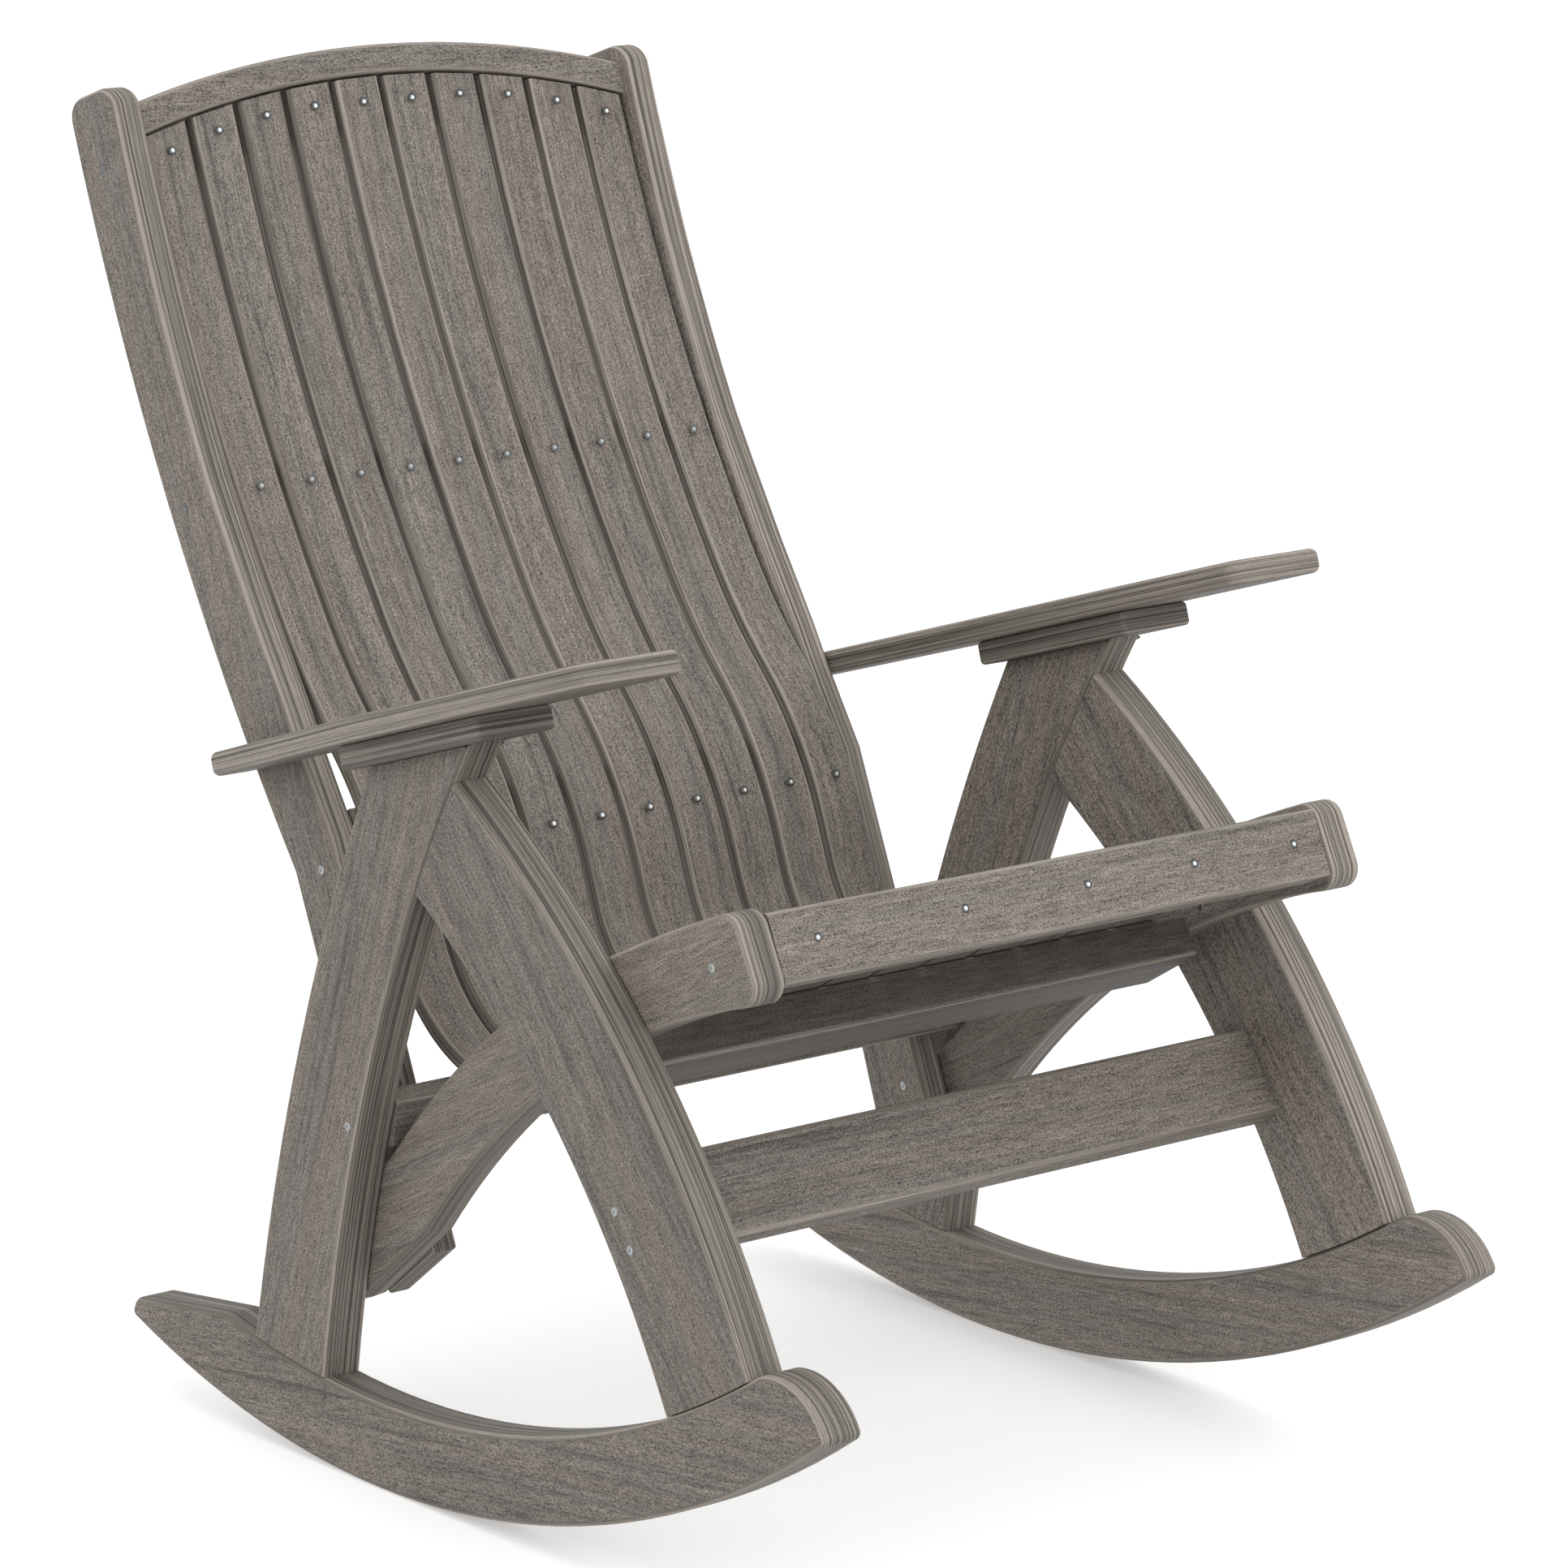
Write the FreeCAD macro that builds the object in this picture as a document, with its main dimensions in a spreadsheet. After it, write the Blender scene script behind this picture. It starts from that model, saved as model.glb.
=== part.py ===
import FreeCAD, Part
import math
import os
import Sketcher
from FreeCAD import Placement, Rotation, Vector

# Slatted garden rocking chair. X runs across the chair, Y runs from the front (negative) to the back,
# Z is up. The origin is on the floor under the middle of the chair, which rests on its curved runners.

SIZES = [
    # Widths across the chair, from the middle outwards
    ("back_opening", 506, "clear width between the two back posts"),
    ("post_thick", 27.3, "thickness of a back post board"),
    ("side_thick", 31.8, "thickness of a seat side board"),
    ("leg_thick", 36.8, "thickness of the leg boards"),
    ("runner_thick", 38.9, "thickness of a rocker runner"),
    ("fit_gap", 0.3, "gap left where curved faces seat on each other"),
    # Rocker runners
    ("runner_radius", 969, "radius of the floor curve"),
    ("runner_centre_y", 25.5, "where the floor curve is lowest"),
    ("runner_depth", 71, "depth of the runner board"),
    ("nose_reach_angle", 35, "degrees that the floor curve reaches forwards"),
    ("nose_start_angle", 32.35, "degrees forwards where the top edge turns down"),
    ("nose_radius", 63, "round of the front end"),
    ("tail_reach_angle", 21, "degrees that the floor curve reaches backwards"),
    ("tail_start_angle", 13.5, "degrees backwards where the top edge turns straight"),
    ("tail_depth", 17, "depth of the board at its rear tip"),
    ("tail_round", 13, "round of the rear tip's upper corner"),
    ("tip_round", 6, "round of the runner's two lower tips"),
    ("runner_ease", 30, "round where its top edge changes direction"),
    ("runner_bevel", 3, "bevel of the runner's long edges"),
    # Arm plane, which the leg tops, cleats and arms share
    ("arm_slope_angle", 16.6, "degrees that the arms rise to the front"),
    ("leg_top_y", -66.4, "point on the plane of the leg tops"),
    ("leg_top_z", 616.4, "height of that point"),
    ("leg_top_rear", 95.9, "from that point back to the rear leg's rear edge"),
    ("leg_top_front", 39.4, "from that point forward to the rear leg's front edge"),
    # Legs
    ("leg_cut_z", 60, "height at which the rear leg is drawn to end, inside the runner"),
    ("rear_leg_foot_rear", 200, "rear edge of the rear leg at that height"),
    ("rear_leg_foot_front", 99.5, "front edge of the rear leg at that height"),
    ("rear_leg_rear_radius", 1879, "bend of its rear edge"),
    ("rear_leg_front_radius", 1453, "bend of its front edge"),
    ("front_leg_head_y", -49.7, "upper end of the front leg's front edge as it is drawn, in the rear leg"),
    ("front_leg_head_z", 616.3, "height of that end"),
    ("front_leg_toe_y", -456.1, "lower end of that edge as it is drawn, inside the runner"),
    ("front_leg_toe_z", 169.7, "height of that end"),
    ("front_leg_radius", 993, "bend of the front leg's front edge"),
    ("front_leg_depth", 111.5, "depth of the front leg board"),
    ("leg_bevel", 3, "bevel of the legs' long edges"),
    # Arms and the cleats under them
    ("cleat_thick", 20, "thickness of a cleat"),
    ("cleat_width", 74.3, "width of a cleat across the chair"),
    ("cleat_rear", 106.8, "from the leg top point back to the cleat's end"),
    ("cleat_front", 81.7, "from the leg top point forward to the cleat's end"),
    ("cleat_corner", 4, "round of a cleat's corners"),
    ("cleat_bevel", 2.5, "bevel of its lower edges"),
    ("arm_thick", 20, "thickness of an arm"),
    ("arm_width", 100.7, "widest part of an arm"),
    ("arm_tail_width", 39.7, "width of an arm at its rear end"),
    ("arm_rear", 358, "from the leg top point back to the arm's end"),
    ("arm_front", 238.9, "from the leg top point forward to the arm's end"),
    ("arm_taper", 63, "from the leg top point back to where the arm starts to narrow"),
    ("arm_corner", 14, "round of the arm's front corners"),
    ("arm_tail_round", 9, "round of the arm's rear corners"),
    ("arm_bevel", 3, "bevel of the arm's edges"),
    # Back posts
    ("post_top_y", 472.3, "upper end of a back post's front edge"),
    ("post_top_z", 1078.5, "height of that end"),
    ("post_knee_y", 172.9, "point on the front edge where its bend ends"),
    ("post_knee_z", 497.1, "height of that point"),
    ("post_radius", 2101.8, "bend of a post's front edge"),
    ("post_depth", 66, "depth of a post board"),
    ("post_foot_y", 42.4, "front corner of the post's foot"),
    ("post_foot_z", 178.2, "height of that corner"),
    ("post_heel_y", 105.4, "rear corner of the post's foot"),
    ("post_heel_z", 129.6, "height of that corner"),
    ("post_calf_y", 190.3, "point on the rear edge below the bend"),
    ("post_calf_z", 373.7, "height of that point"),
    ("post_corner", 18, "round of the post's upper corners"),
    ("post_bevel", 3.5, "bevel of the post's long edges"),
    # Seat sides
    ("side_front_y", -378, "upper front corner of a seat side"),
    ("side_front_z", 542.5, "height of that corner"),
    ("side_chin_y", -411, "lower front corner"),
    ("side_chin_z", 475.5, "height of that corner"),
    ("side_top_y", -240.5, "point on the upper edge where its bend grows tighter"),
    ("side_top_z", 485, "height of that point"),
    ("side_front_radius", 1538, "bend of the front half of the upper edge"),
    ("side_hip_y", 56, "end of the bend of the upper edge"),
    ("side_hip_z", 260.5, "height of that point"),
    ("side_rear_radius", 819, "bend of the rear half of the upper edge"),
    ("side_tail_y", 150, "upper corner of the rear end"),
    ("side_tail_z", 184, "height of that corner"),
    ("side_heel_y", 136, "lower corner of the rear end"),
    ("side_heel_z", 117, "height of that corner"),
    ("side_belly_y", 100.8, "point on the lower edge before the rear end"),
    ("side_belly_z", 133.2, "height of that point"),
    ("side_low_y", 10.7, "end of the bend of the lower edge"),
    ("side_low_z", 206.6, "height of that point"),
    ("side_low_radius", 786, "bend of the lower edge"),
    ("side_corner", 17, "round of the ends of a seat side"),
    ("side_bevel", 3, "bevel of its long edges"),
    # Slats, each one bent strip from the crest to the seat's front
    ("slat_count", 10, "number of slats"),
    ("slat_width", 44, "width of a slat"),
    ("slat_gap", 6.55, "gap between slats"),
    ("slat_thick", 12.5, "thickness of a slat"),
    ("slat_bevel", 1.8, "bevel of a slat's front edges"),
    ("slat_top_y", 460.9, "front face of the slats where their upper bend starts"),
    ("slat_top_z", 1022, "height of that point"),
    ("back_lean_angle", 19.3, "degrees from upright of the slats' upper end"),
    ("upper_radius", 1672, "long hollow bend of the upper back"),
    ("upper_turn_angle", 14.2, "degrees of that bend"),
    ("waist_radius", 525, "tighter hollow bend above the waist"),
    ("waist_turn_angle", 11.4, "degrees of that bend"),
    ("lumbar_radius", 334, "bend the other way that supports the waist"),
    ("lumbar_turn_angle", 25, "degrees of that bend"),
    ("lumbar_run", 32, "straight run below it"),
    ("bowl_radius", 137.5, "bend from back to seat"),
    ("seat_rise_angle", 30.5, "degrees that the seat rises to the front"),
    ("seat_run", 318.5, "straight run of the seat"),
    # Crest rail, an arched board with a rebate that takes the slats' upper ends
    ("crest_thick", 42.3, "full thickness of the crest rail"),
    ("crest_lip", 2.5, "how far its lip stands proud of the slats"),
    ("crest_rise", 74.5, "top of its arch, up along the back from the slats' top point"),
    ("crest_radius", 980, "radius of its upper edge"),
    ("lip_rise", 49, "top of the lip's lower arch"),
    ("lip_radius", 900, "radius of the lip's lower arch"),
    ("crest_depth", 72, "depth of the board behind the slats"),
    ("crest_bevel", 2.5, "bevel of its edges"),
    ("slat_end_gap", 2, "gap between the lip and the slats' ends"),
    # Rails behind and under the slats
    ("rail_tall", 27.3, "height of the two rails behind the slats"),
    ("mid_rail_turn_angle", 9.7, "degrees along the upper bend down to the middle rail"),
    ("mid_rail_depth", 53, "depth of the middle rail"),
    ("lumbar_rail_turn_angle", 13, "degrees along the waist support down to its rail"),
    ("lumbar_rail_depth", 66, "depth of the rail behind the waist"),
    ("seat_rail_set", 146, "from the slats' front ends back to the front seat rail"),
    ("seat_rail_tall", 36.8, "thickness of the front seat rail"),
    ("seat_rail_depth", 74, "depth of the front seat rail"),
    ("rail_bevel", 2.5, "bevel of the rails' long edges"),
    # Front board across the ends of the slats
    ("board_lean_angle", 23.5, "degrees that the front board leans out at its foot"),
    ("board_top_y", -380.2, "upper front edge of the board"),
    ("board_top_z", 537, "height of that edge"),
    ("board_tall", 56, "height of the board"),
    ("board_thick", 27, "thickness of the board"),
    ("board_bevel", 3.5, "bevel of its long edges"),
    # Stretchers between the legs
    ("front_stretcher_y", -315.5, "lower front edge of the front stretcher"),
    ("front_stretcher_z", 268, "height of that edge"),
    ("front_stretcher_lean_angle", 35.4, "degrees that it leans back"),
    ("front_stretcher_tall", 77, "height of its face"),
    ("front_stretcher_thick", 27.3, "thickness of the board"),
    ("rear_stretcher_y", 60, "middle of the rear stretcher"),
    ("rear_stretcher_z", 291.8, "height of its middle"),
    ("rear_stretcher_lean_angle", 9, "degrees that its top leans forwards"),
    ("rear_stretcher_tall", 41, "height of its face"),
    ("rear_stretcher_thick", 27.3, "thickness of the board"),
]

document = FreeCAD.newDocument("RockingChair")
sheet = document.addObject("Spreadsheet::Sheet", "sizes")
for row, (alias, size, note) in enumerate(SIZES, start=1):
    sheet.set(f"A{row}", alias)
    sheet.set(f"B{row}", str(size))
    sheet.setAlias(f"B{row}", alias)
    sheet.set(f"C{row}", note)
document.recompute()

parts = []


def named(expression):
    """The expression with every size's name pointed at the sheet."""
    words = []
    word = ""
    for letter in expression + " ":
        if letter.isalnum() or letter in "_.":
            word += letter
            continue
        words.append(f"sizes.{word}" if word in known else word)
        words.append(letter)
        word = ""
    return "".join(words).strip()


known = {alias for alias, size, note in SIZES}


def value(entry):
    """A plain number as it is, or what an expression of sizes comes to."""
    if not isinstance(entry, str):
        return float(entry)
    result = sheet.evalExpression(named(entry))
    return float(getattr(result, "Value", result))


def arc_centre(start, end, radius, side):
    """Centre of the short arc from start to end, on its left (1) or its right (-1)."""
    middle = ((start[0] + end[0]) / 2, (start[1] + end[1]) / 2)
    along = (end[0] - start[0], end[1] - start[1])
    chord = math.hypot(*along)
    reach = side * math.sqrt(radius ** 2 - (chord / 2) ** 2) / chord
    return middle[0] - along[1] * reach, middle[1] + along[0] * reach


def centre_between(start, end, radius, side):
    """Expressions for the same centre, from expressions for the ends and the radius."""
    run = f"(({end[0]}) - ({start[0]}))"
    rise = f"(({end[1]}) - ({start[1]}))"
    chord = f"sqrt({run}^2 + {rise}^2)"
    reach = f"{side} * sqrt(({radius})^2 - {chord}^2 / 4) / {chord}"
    return (f"(({start[0]}) + ({end[0]})) / 2 - {rise} * {reach}",
            f"(({start[1]}) + ({end[1]})) / 2 + {run} * {reach}")


def further_out(centre, point, radius, distance):
    """Expressions for the point that lies beyond a point of an arc, as seen from its centre."""
    return tuple(f"{at} + ({distance}) * ({at} - ({middle})) / {radius}"
                 for at, middle in zip(point, centre))


def new_body(label):
    """An empty body with its label, kept in the list of parts."""
    body = document.addObject("PartDesign::Body", label)
    body.Label = label
    parts.append(body)
    return body


def new_sketch(body, plane, name):
    """An empty sketch on one of the body's own origin planes."""
    sketch = body.newObject("Sketcher::SketchObject", name)
    origin = next(item for item in body.Origin.OriginFeatures if item.Role == plane)
    sketch.AttachmentSupport = [(origin, "")]
    sketch.MapMode = "FlatFace"
    return sketch


def pin(sketch, index, point, place):
    """Hold one end of a line or arc at its place, by expressions where they are given."""
    axes = (("DistanceX", -2), ("DistanceY", -1))
    for (kind, axis), entry in zip(axes, place):
        distance = value(entry)
        if abs(distance) < 1e-9:
            sketch.addConstraint(Sketcher.Constraint("PointOnObject", index, point, axis))
            continue
        number = sketch.addConstraint(Sketcher.Constraint(kind, -1, 1, index, point, distance))
        if isinstance(entry, str):
            sketch.setExpression(f"Constraints[{number}]", named(entry))


def draw(sketch, corners):
    """Closed outline. Each corner is (x, y) or (x, y, radius, side) for an arc to the next one."""
    ends = []
    count = len(corners)
    for index, corner in enumerate(corners):
        following = corners[(index + 1) % count]
        start = (value(corner[0]), value(corner[1]))
        end = (value(following[0]), value(following[1]))
        if len(corner) == 2:
            line = Part.LineSegment(Vector(*start, 0), Vector(*end, 0))
            ends.append((sketch.addGeometry(line), 1, 2))
            continue
        radius, side = value(corner[2]), corner[3]
        centre = arc_centre(start, end, radius, side)
        first, last = (start, end) if side > 0 else (end, start)
        angles = [math.atan2(at[1] - centre[1], at[0] - centre[0]) for at in (first, last)]
        if angles[1] < angles[0]:
            angles[1] += 2 * math.pi
        circle = Part.Circle(Vector(*centre, 0), Vector(0, 0, 1), radius)
        geometry = sketch.addGeometry(Part.ArcOfCircle(circle, *angles))
        ends.append((geometry, 1, 2) if side > 0 else (geometry, 2, 1))
    for index, corner in enumerate(corners):
        geometry, begin, finish = ends[index]
        previous, unused, joined = ends[index - 1]
        sketch.addConstraint(Sketcher.Constraint("Coincident", previous, joined, geometry, begin))
    for index, corner in enumerate(corners):
        geometry, begin, finish = ends[index]
        pin(sketch, geometry, begin, corner[:2])
        if len(corner) == 4:
            radius = Sketcher.Constraint("Radius", geometry, value(corner[2]))
            number = sketch.addConstraint(radius)
            if isinstance(corner[2], str):
                sketch.setExpression(f"Constraints[{number}]", named(corner[2]))


def draw_ring(sketch, centre, inner, outer):
    """Two circles round one centre, the waste that a curved cut takes away."""
    for radius in (inner, outer):
        circle = Part.Circle(Vector(*centre, 0), Vector(0, 0, 1), radius)
        index = sketch.addGeometry(circle)
        pin(sketch, index, 3, centre)
        sketch.addConstraint(Sketcher.Constraint("Radius", index, radius))


def pad(body, sketch, length, reverse=False):
    """Thicken a sketch into a board."""
    feature = body.newObject("PartDesign::Pad", f"{body.Name}_pad")
    feature.Profile = sketch
    feature.setExpression("Length", named(length))
    feature.Reversed = reverse
    sketch.Visibility = False
    document.recompute()
    return feature


def pocket(body, sketch, length=None):
    """Cut a sketch's area out of the body, right through or to a length, and test that it cut."""
    before = body.Shape.Volume
    feature = body.newObject("PartDesign::Pocket", f"{body.Name}_cut")
    feature.Profile = sketch
    if length is None:
        feature.Type = "ThroughAll"
        feature.Midplane = True
    else:
        feature.setExpression("Length", named(length))
    sketch.Visibility = False
    document.recompute()
    assert feature.Shape.Volume < before - 1, f"{feature.Name} cut nothing"
    return feature


def fillet(body, base, radius, chosen):
    """Round the chosen edges of a feature."""
    names = [f"Edge{i}" for i, edge in enumerate(base.Shape.Edges, start=1) if chosen(edge)]
    assert names, f"{body.Name} has no edge to round"
    feature = body.newObject("PartDesign::Fillet", f"{body.Name}_round")
    feature.Base = (base, names)
    feature.setExpression("Radius", named(radius))
    document.recompute()
    return feature


def bevel(body, base, size, chosen):
    """Take the sharpness off the chosen edges of a feature."""
    names = [f"Edge{i}" for i, edge in enumerate(base.Shape.Edges, start=1) if chosen(edge)]
    assert names, f"{body.Name} has no edge to bevel"
    feature = body.newObject("PartDesign::Chamfer", f"{body.Name}_bevel")
    feature.Base = (base, names)
    feature.setExpression("Size", named(size))
    document.recompute()
    return feature


def ends_and_middle(edge):
    """Three points that tell where an edge runs."""
    first, last = edge.ParameterRange
    return [edge.valueAt(first), edge.valueAt((first + last) / 2), edge.valueAt(last)]


def across(*places):
    """Chooser of the edges along X that pass near any of the given Y, Z places."""
    spots = [Vector(0, value(y), value(z)) for y, z in places]

    def chosen(edge):
        points = ends_and_middle(edge)
        flat = [Vector(0, point.y, point.z) for point in points]
        if flat[0].distanceToPoint(flat[2]) > 0.01:
            return False
        return not spots or any(flat[1].distanceToPoint(spot) < 1 for spot in spots)
    return chosen


def on_faces(low, high, skip=None):
    """Chooser of the edges that lie in one of two planes across X, less those that skip names."""
    planes = (value(low), value(high))

    def chosen(edge):
        points = ends_and_middle(edge)
        flush = any(all(abs(point.x - plane) < 0.01 for point in points) for plane in planes)
        return flush and not (skip and skip(edge))
    return chosen


def lies_on_circle(centre, radius):
    """Test for edges that follow a circle in the side view."""
    def follows(edge):
        return all(abs(math.hypot(point.y - centre[0], point.z - centre[1]) - radius) < 0.05
                   for point in ends_and_middle(edge))
    return follows


def lies_on_line(start, end):
    """Test for edges that follow a line in the side view."""
    along = Vector(0, end[0] - start[0], end[1] - start[1])
    along.normalize()

    def follows(edge):
        for point in ends_and_middle(edge):
            offset = Vector(0, point.y - start[0], point.z - start[1])
            if offset.cross(along).Length > 0.05:
                return False
        return True
    return follows


def place_across(body, hand, inner, thick):
    """Set a side board with its inner face at a distance from the middle, on one hand."""
    body.setExpression("Placement.Base.x", named(inner if hand > 0 else f"-({inner}) - {thick}"))


POST_FACE = "back_opening / 2"
SIDE_FACE = "back_opening / 2 + post_thick"
LEG_FACE = "back_opening / 2 + post_thick + side_thick"
RUNNER_FACE = f"{LEG_FACE} + (leg_thick - runner_thick) / 2"
RUNNER_CENTRE = ("runner_centre_y", "runner_radius")
HANDS = (("left", -1), ("right", 1))


def on_runner(radius, angle):
    """Expressions for a point of the runner, by radius and degrees back from its lowest point."""
    return (f"runner_centre_y + ({radius}) * sin({angle})",
            f"runner_radius - ({radius}) * cos({angle})")


def on_arm_plane(forward, above="0"):
    """Expressions for a point of the arm plane, by distances forward and square to it."""
    return (f"leg_top_y - ({forward}) * cos(arm_slope_angle) + ({above}) * sin(arm_slope_angle)",
            f"leg_top_z + ({forward}) * sin(arm_slope_angle) + ({above}) * cos(arm_slope_angle)")


def make_runner(name, hand):
    """Curved runner with a round nose and a straight, lower tail."""
    body = new_body(f"{name}_runner")
    sketch = new_sketch(body, "YZ_Plane", f"{name}_runner_outline")
    top = "runner_radius - runner_depth"
    nose_tip = on_runner("runner_radius", "-nose_reach_angle")
    nose_top = on_runner(top, "-nose_start_angle")
    tail_tip = on_runner("runner_radius", "tail_reach_angle")
    tail_top = on_runner("runner_radius - tail_depth", "tail_reach_angle")
    tail_turn = on_runner(top, "tail_start_angle")
    draw(sketch, [
        (*nose_tip, "runner_radius", 1),
        tail_tip,
        tail_top,
        (*tail_turn, top, -1),
        (*nose_top, "nose_radius", 1),
    ])
    board = pad(body, sketch, "runner_thick")
    board = fillet(body, board, "tail_round", across(tail_top))
    board = fillet(body, board, "runner_ease", across(nose_top, tail_turn))
    board = fillet(body, board, "tip_round", across(nose_tip, tail_tip))
    bevel(body, board, "runner_bevel", on_faces(0, "runner_thick"))
    place_across(body, hand, RUNNER_FACE, "runner_thick")


REAR_LEG_TOP = on_arm_plane("leg_top_front")
REAR_LEG_FOOT = ("rear_leg_foot_front", "leg_cut_z")


def cut_to_runner(body, name):
    """Shape a leg's foot to sit on the runner's curved top edge."""
    centre = (value("runner_centre_y"), value("runner_radius"))
    seat = value("runner_radius - runner_depth - fit_gap")
    sketch = new_sketch(body, "YZ_Plane", f"{name}_foot_waste")
    draw_ring(sketch, centre, seat, 2 * seat)
    return pocket(body, sketch), lies_on_circle(centre, seat)


def make_rear_leg(name, hand):
    """Gently curved leg from the arm cleat down to the runner."""
    body = new_body(f"{name}_rear_leg")
    sketch = new_sketch(body, "YZ_Plane", f"{name}_rear_leg_outline")
    draw(sketch, [
        REAR_LEG_FOOT,
        ("rear_leg_foot_rear", "leg_cut_z", "rear_leg_rear_radius", 1),
        on_arm_plane("-leg_top_rear"),
        (*REAR_LEG_TOP, "rear_leg_front_radius", -1),
    ])
    pad(body, sketch, "leg_thick")
    board, at_foot = cut_to_runner(body, f"{name}_rear_leg")
    ends = [tuple(value(entry) for entry in on_arm_plane(s)) for s in ("0", "leg_top_front")]
    at_top = lies_on_line(*ends)
    bevel(body, board, "leg_bevel",
          on_faces(0, "leg_thick", lambda edge: at_foot(edge) or at_top(edge)))
    place_across(body, hand, LEG_FACE, "leg_thick")


def make_front_leg(name, hand):
    """Arc-shaped leg that butts on the rear leg's front edge and sweeps down to the runner's nose."""
    body = new_body(f"{name}_front_leg")
    sketch = new_sketch(body, "YZ_Plane", f"{name}_front_leg_outline")
    head = ("front_leg_head_y", "front_leg_head_z")
    toe = ("front_leg_toe_y", "front_leg_toe_z")
    centre = centre_between(head, toe, "front_leg_radius", 1)
    head_rear, toe_rear = (further_out(centre, end, "front_leg_radius", "-front_leg_depth")
                           for end in (head, toe))
    draw(sketch, [
        (*head, "front_leg_radius", 1),
        toe,
        (*toe_rear, "front_leg_radius - front_leg_depth", -1),
        head_rear,
    ])
    pad(body, sketch, "leg_thick")
    board, at_foot = cut_to_runner(body, f"{name}_front_leg")
    bend = value("rear_leg_front_radius")
    top = tuple(value(entry) for entry in REAR_LEG_TOP)
    foot = tuple(value(entry) for entry in REAR_LEG_FOOT)
    rear_centre = arc_centre(top, foot, bend, -1)
    seat = bend - value("fit_gap")
    waste = new_sketch(body, "YZ_Plane", f"{name}_front_leg_head_waste")
    draw_ring(waste, rear_centre, seat, 2 * seat)
    board = pocket(body, waste)
    at_head = lies_on_circle(rear_centre, seat)
    bevel(body, board, "leg_bevel",
          on_faces(0, "leg_thick", lambda edge: at_foot(edge) or at_head(edge)))
    place_across(body, hand, LEG_FACE, "leg_thick")


def tilt_to_arms(body, above):
    """Lay a flat piece on the sloping arm plane, at a height square to it."""
    y, z = on_arm_plane("0", above)
    body.Placement = Placement(Vector(), Rotation(Vector(1, 0, 0), -value("arm_slope_angle")))
    body.setExpression("Placement.Base.y", named(y))
    body.setExpression("Placement.Base.z", named(z))


def upright(*places):
    """Chooser of the edges along Z, at the given X, Y places or at all."""
    spots = [Vector(value(x), value(y), 0) for x, y in places]

    def chosen(edge):
        points = ends_and_middle(edge)
        flat = [Vector(point.x, point.y, 0) for point in points]
        if flat[0].distanceToPoint(flat[2]) > 0.01:
            return False
        return not spots or any(flat[1].distanceToPoint(spot) < 1 for spot in spots)
    return chosen


def level(*heights):
    """Chooser of the edges that lie at one of the given heights of a flat piece."""
    planes = [value(height) for height in heights]

    def chosen(edge):
        points = ends_and_middle(edge)
        return any(all(abs(point.z - plane) < 0.01 for point in points) for plane in planes)
    return chosen


def make_cleat(name, hand):
    """Flat cleat that caps the leg tops and carries the arm."""
    body = new_body(f"{name}_arm_cleat")
    sketch = new_sketch(body, "XY_Plane", f"{name}_arm_cleat_outline")
    inner = f"{LEG_FACE} + (leg_thick - cleat_width) / 2"
    near, far = (f"{hand} * ({inner})", f"{hand} * ({inner} + cleat_width)")
    if hand < 0:
        near, far = far, near
    draw(sketch, [(near, "-cleat_front"), (far, "-cleat_front"), (far, "cleat_rear"),
                  (near, "cleat_rear")])
    board = pad(body, sketch, "cleat_thick")
    board = fillet(body, board, "cleat_corner", upright())
    bevel(body, board, "cleat_bevel", level(0))
    tilt_to_arms(body, "0")


def make_arm(name, hand):
    """Broad arm board that narrows to the rear along its outer edge."""
    body = new_body(f"{name}_arm")
    sketch = new_sketch(body, "XY_Plane", f"{name}_arm_outline")
    inner = f"{hand} * ({SIDE_FACE})"
    outer = f"{hand} * ({SIDE_FACE} + arm_width)"
    tail = f"{hand} * ({SIDE_FACE} + arm_tail_width)"
    corners = [(inner, "-arm_front"), (outer, "-arm_front"), (outer, "arm_taper"),
               (tail, "arm_rear"), (inner, "arm_rear")]
    draw(sketch, corners if hand > 0 else corners[::-1])
    board = pad(body, sketch, "arm_thick")
    board = fillet(body, board, "arm_corner", upright(corners[0], corners[1]))
    board = fillet(body, board, "arm_tail_round", upright(corners[3], corners[4]))
    bevel(body, board, "arm_bevel", level(0, "arm_thick"))
    tilt_to_arms(body, "cleat_thick")


def make_post(name, hand):
    """Back post: bent above, kneed at the seat and straight down to its foot on the seat side."""
    body = new_body(f"{name}_back_post")
    sketch = new_sketch(body, "YZ_Plane", f"{name}_back_post_outline")
    top_front = ("post_top_y", "post_top_z")
    knee = ("post_knee_y", "post_knee_z")
    centre = centre_between(top_front, knee, "post_radius", -1)
    top_rear, knee_rear = (further_out(centre, end, "post_radius", "post_depth")
                           for end in (top_front, knee))
    draw(sketch, [
        ("post_foot_y", "post_foot_z"),
        ("post_heel_y", "post_heel_z"),
        ("post_calf_y", "post_calf_z"),
        (*knee_rear, "post_radius + post_depth", 1),
        top_rear,
        (*top_front, "post_radius", -1),
        knee,
    ])
    board = pad(body, sketch, "post_thick")
    board = fillet(body, board, "post_corner", across(top_front, top_rear))
    bevel(body, board, "post_bevel", on_faces(0, "post_thick"))
    place_across(body, hand, POST_FACE, "post_thick")


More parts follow.
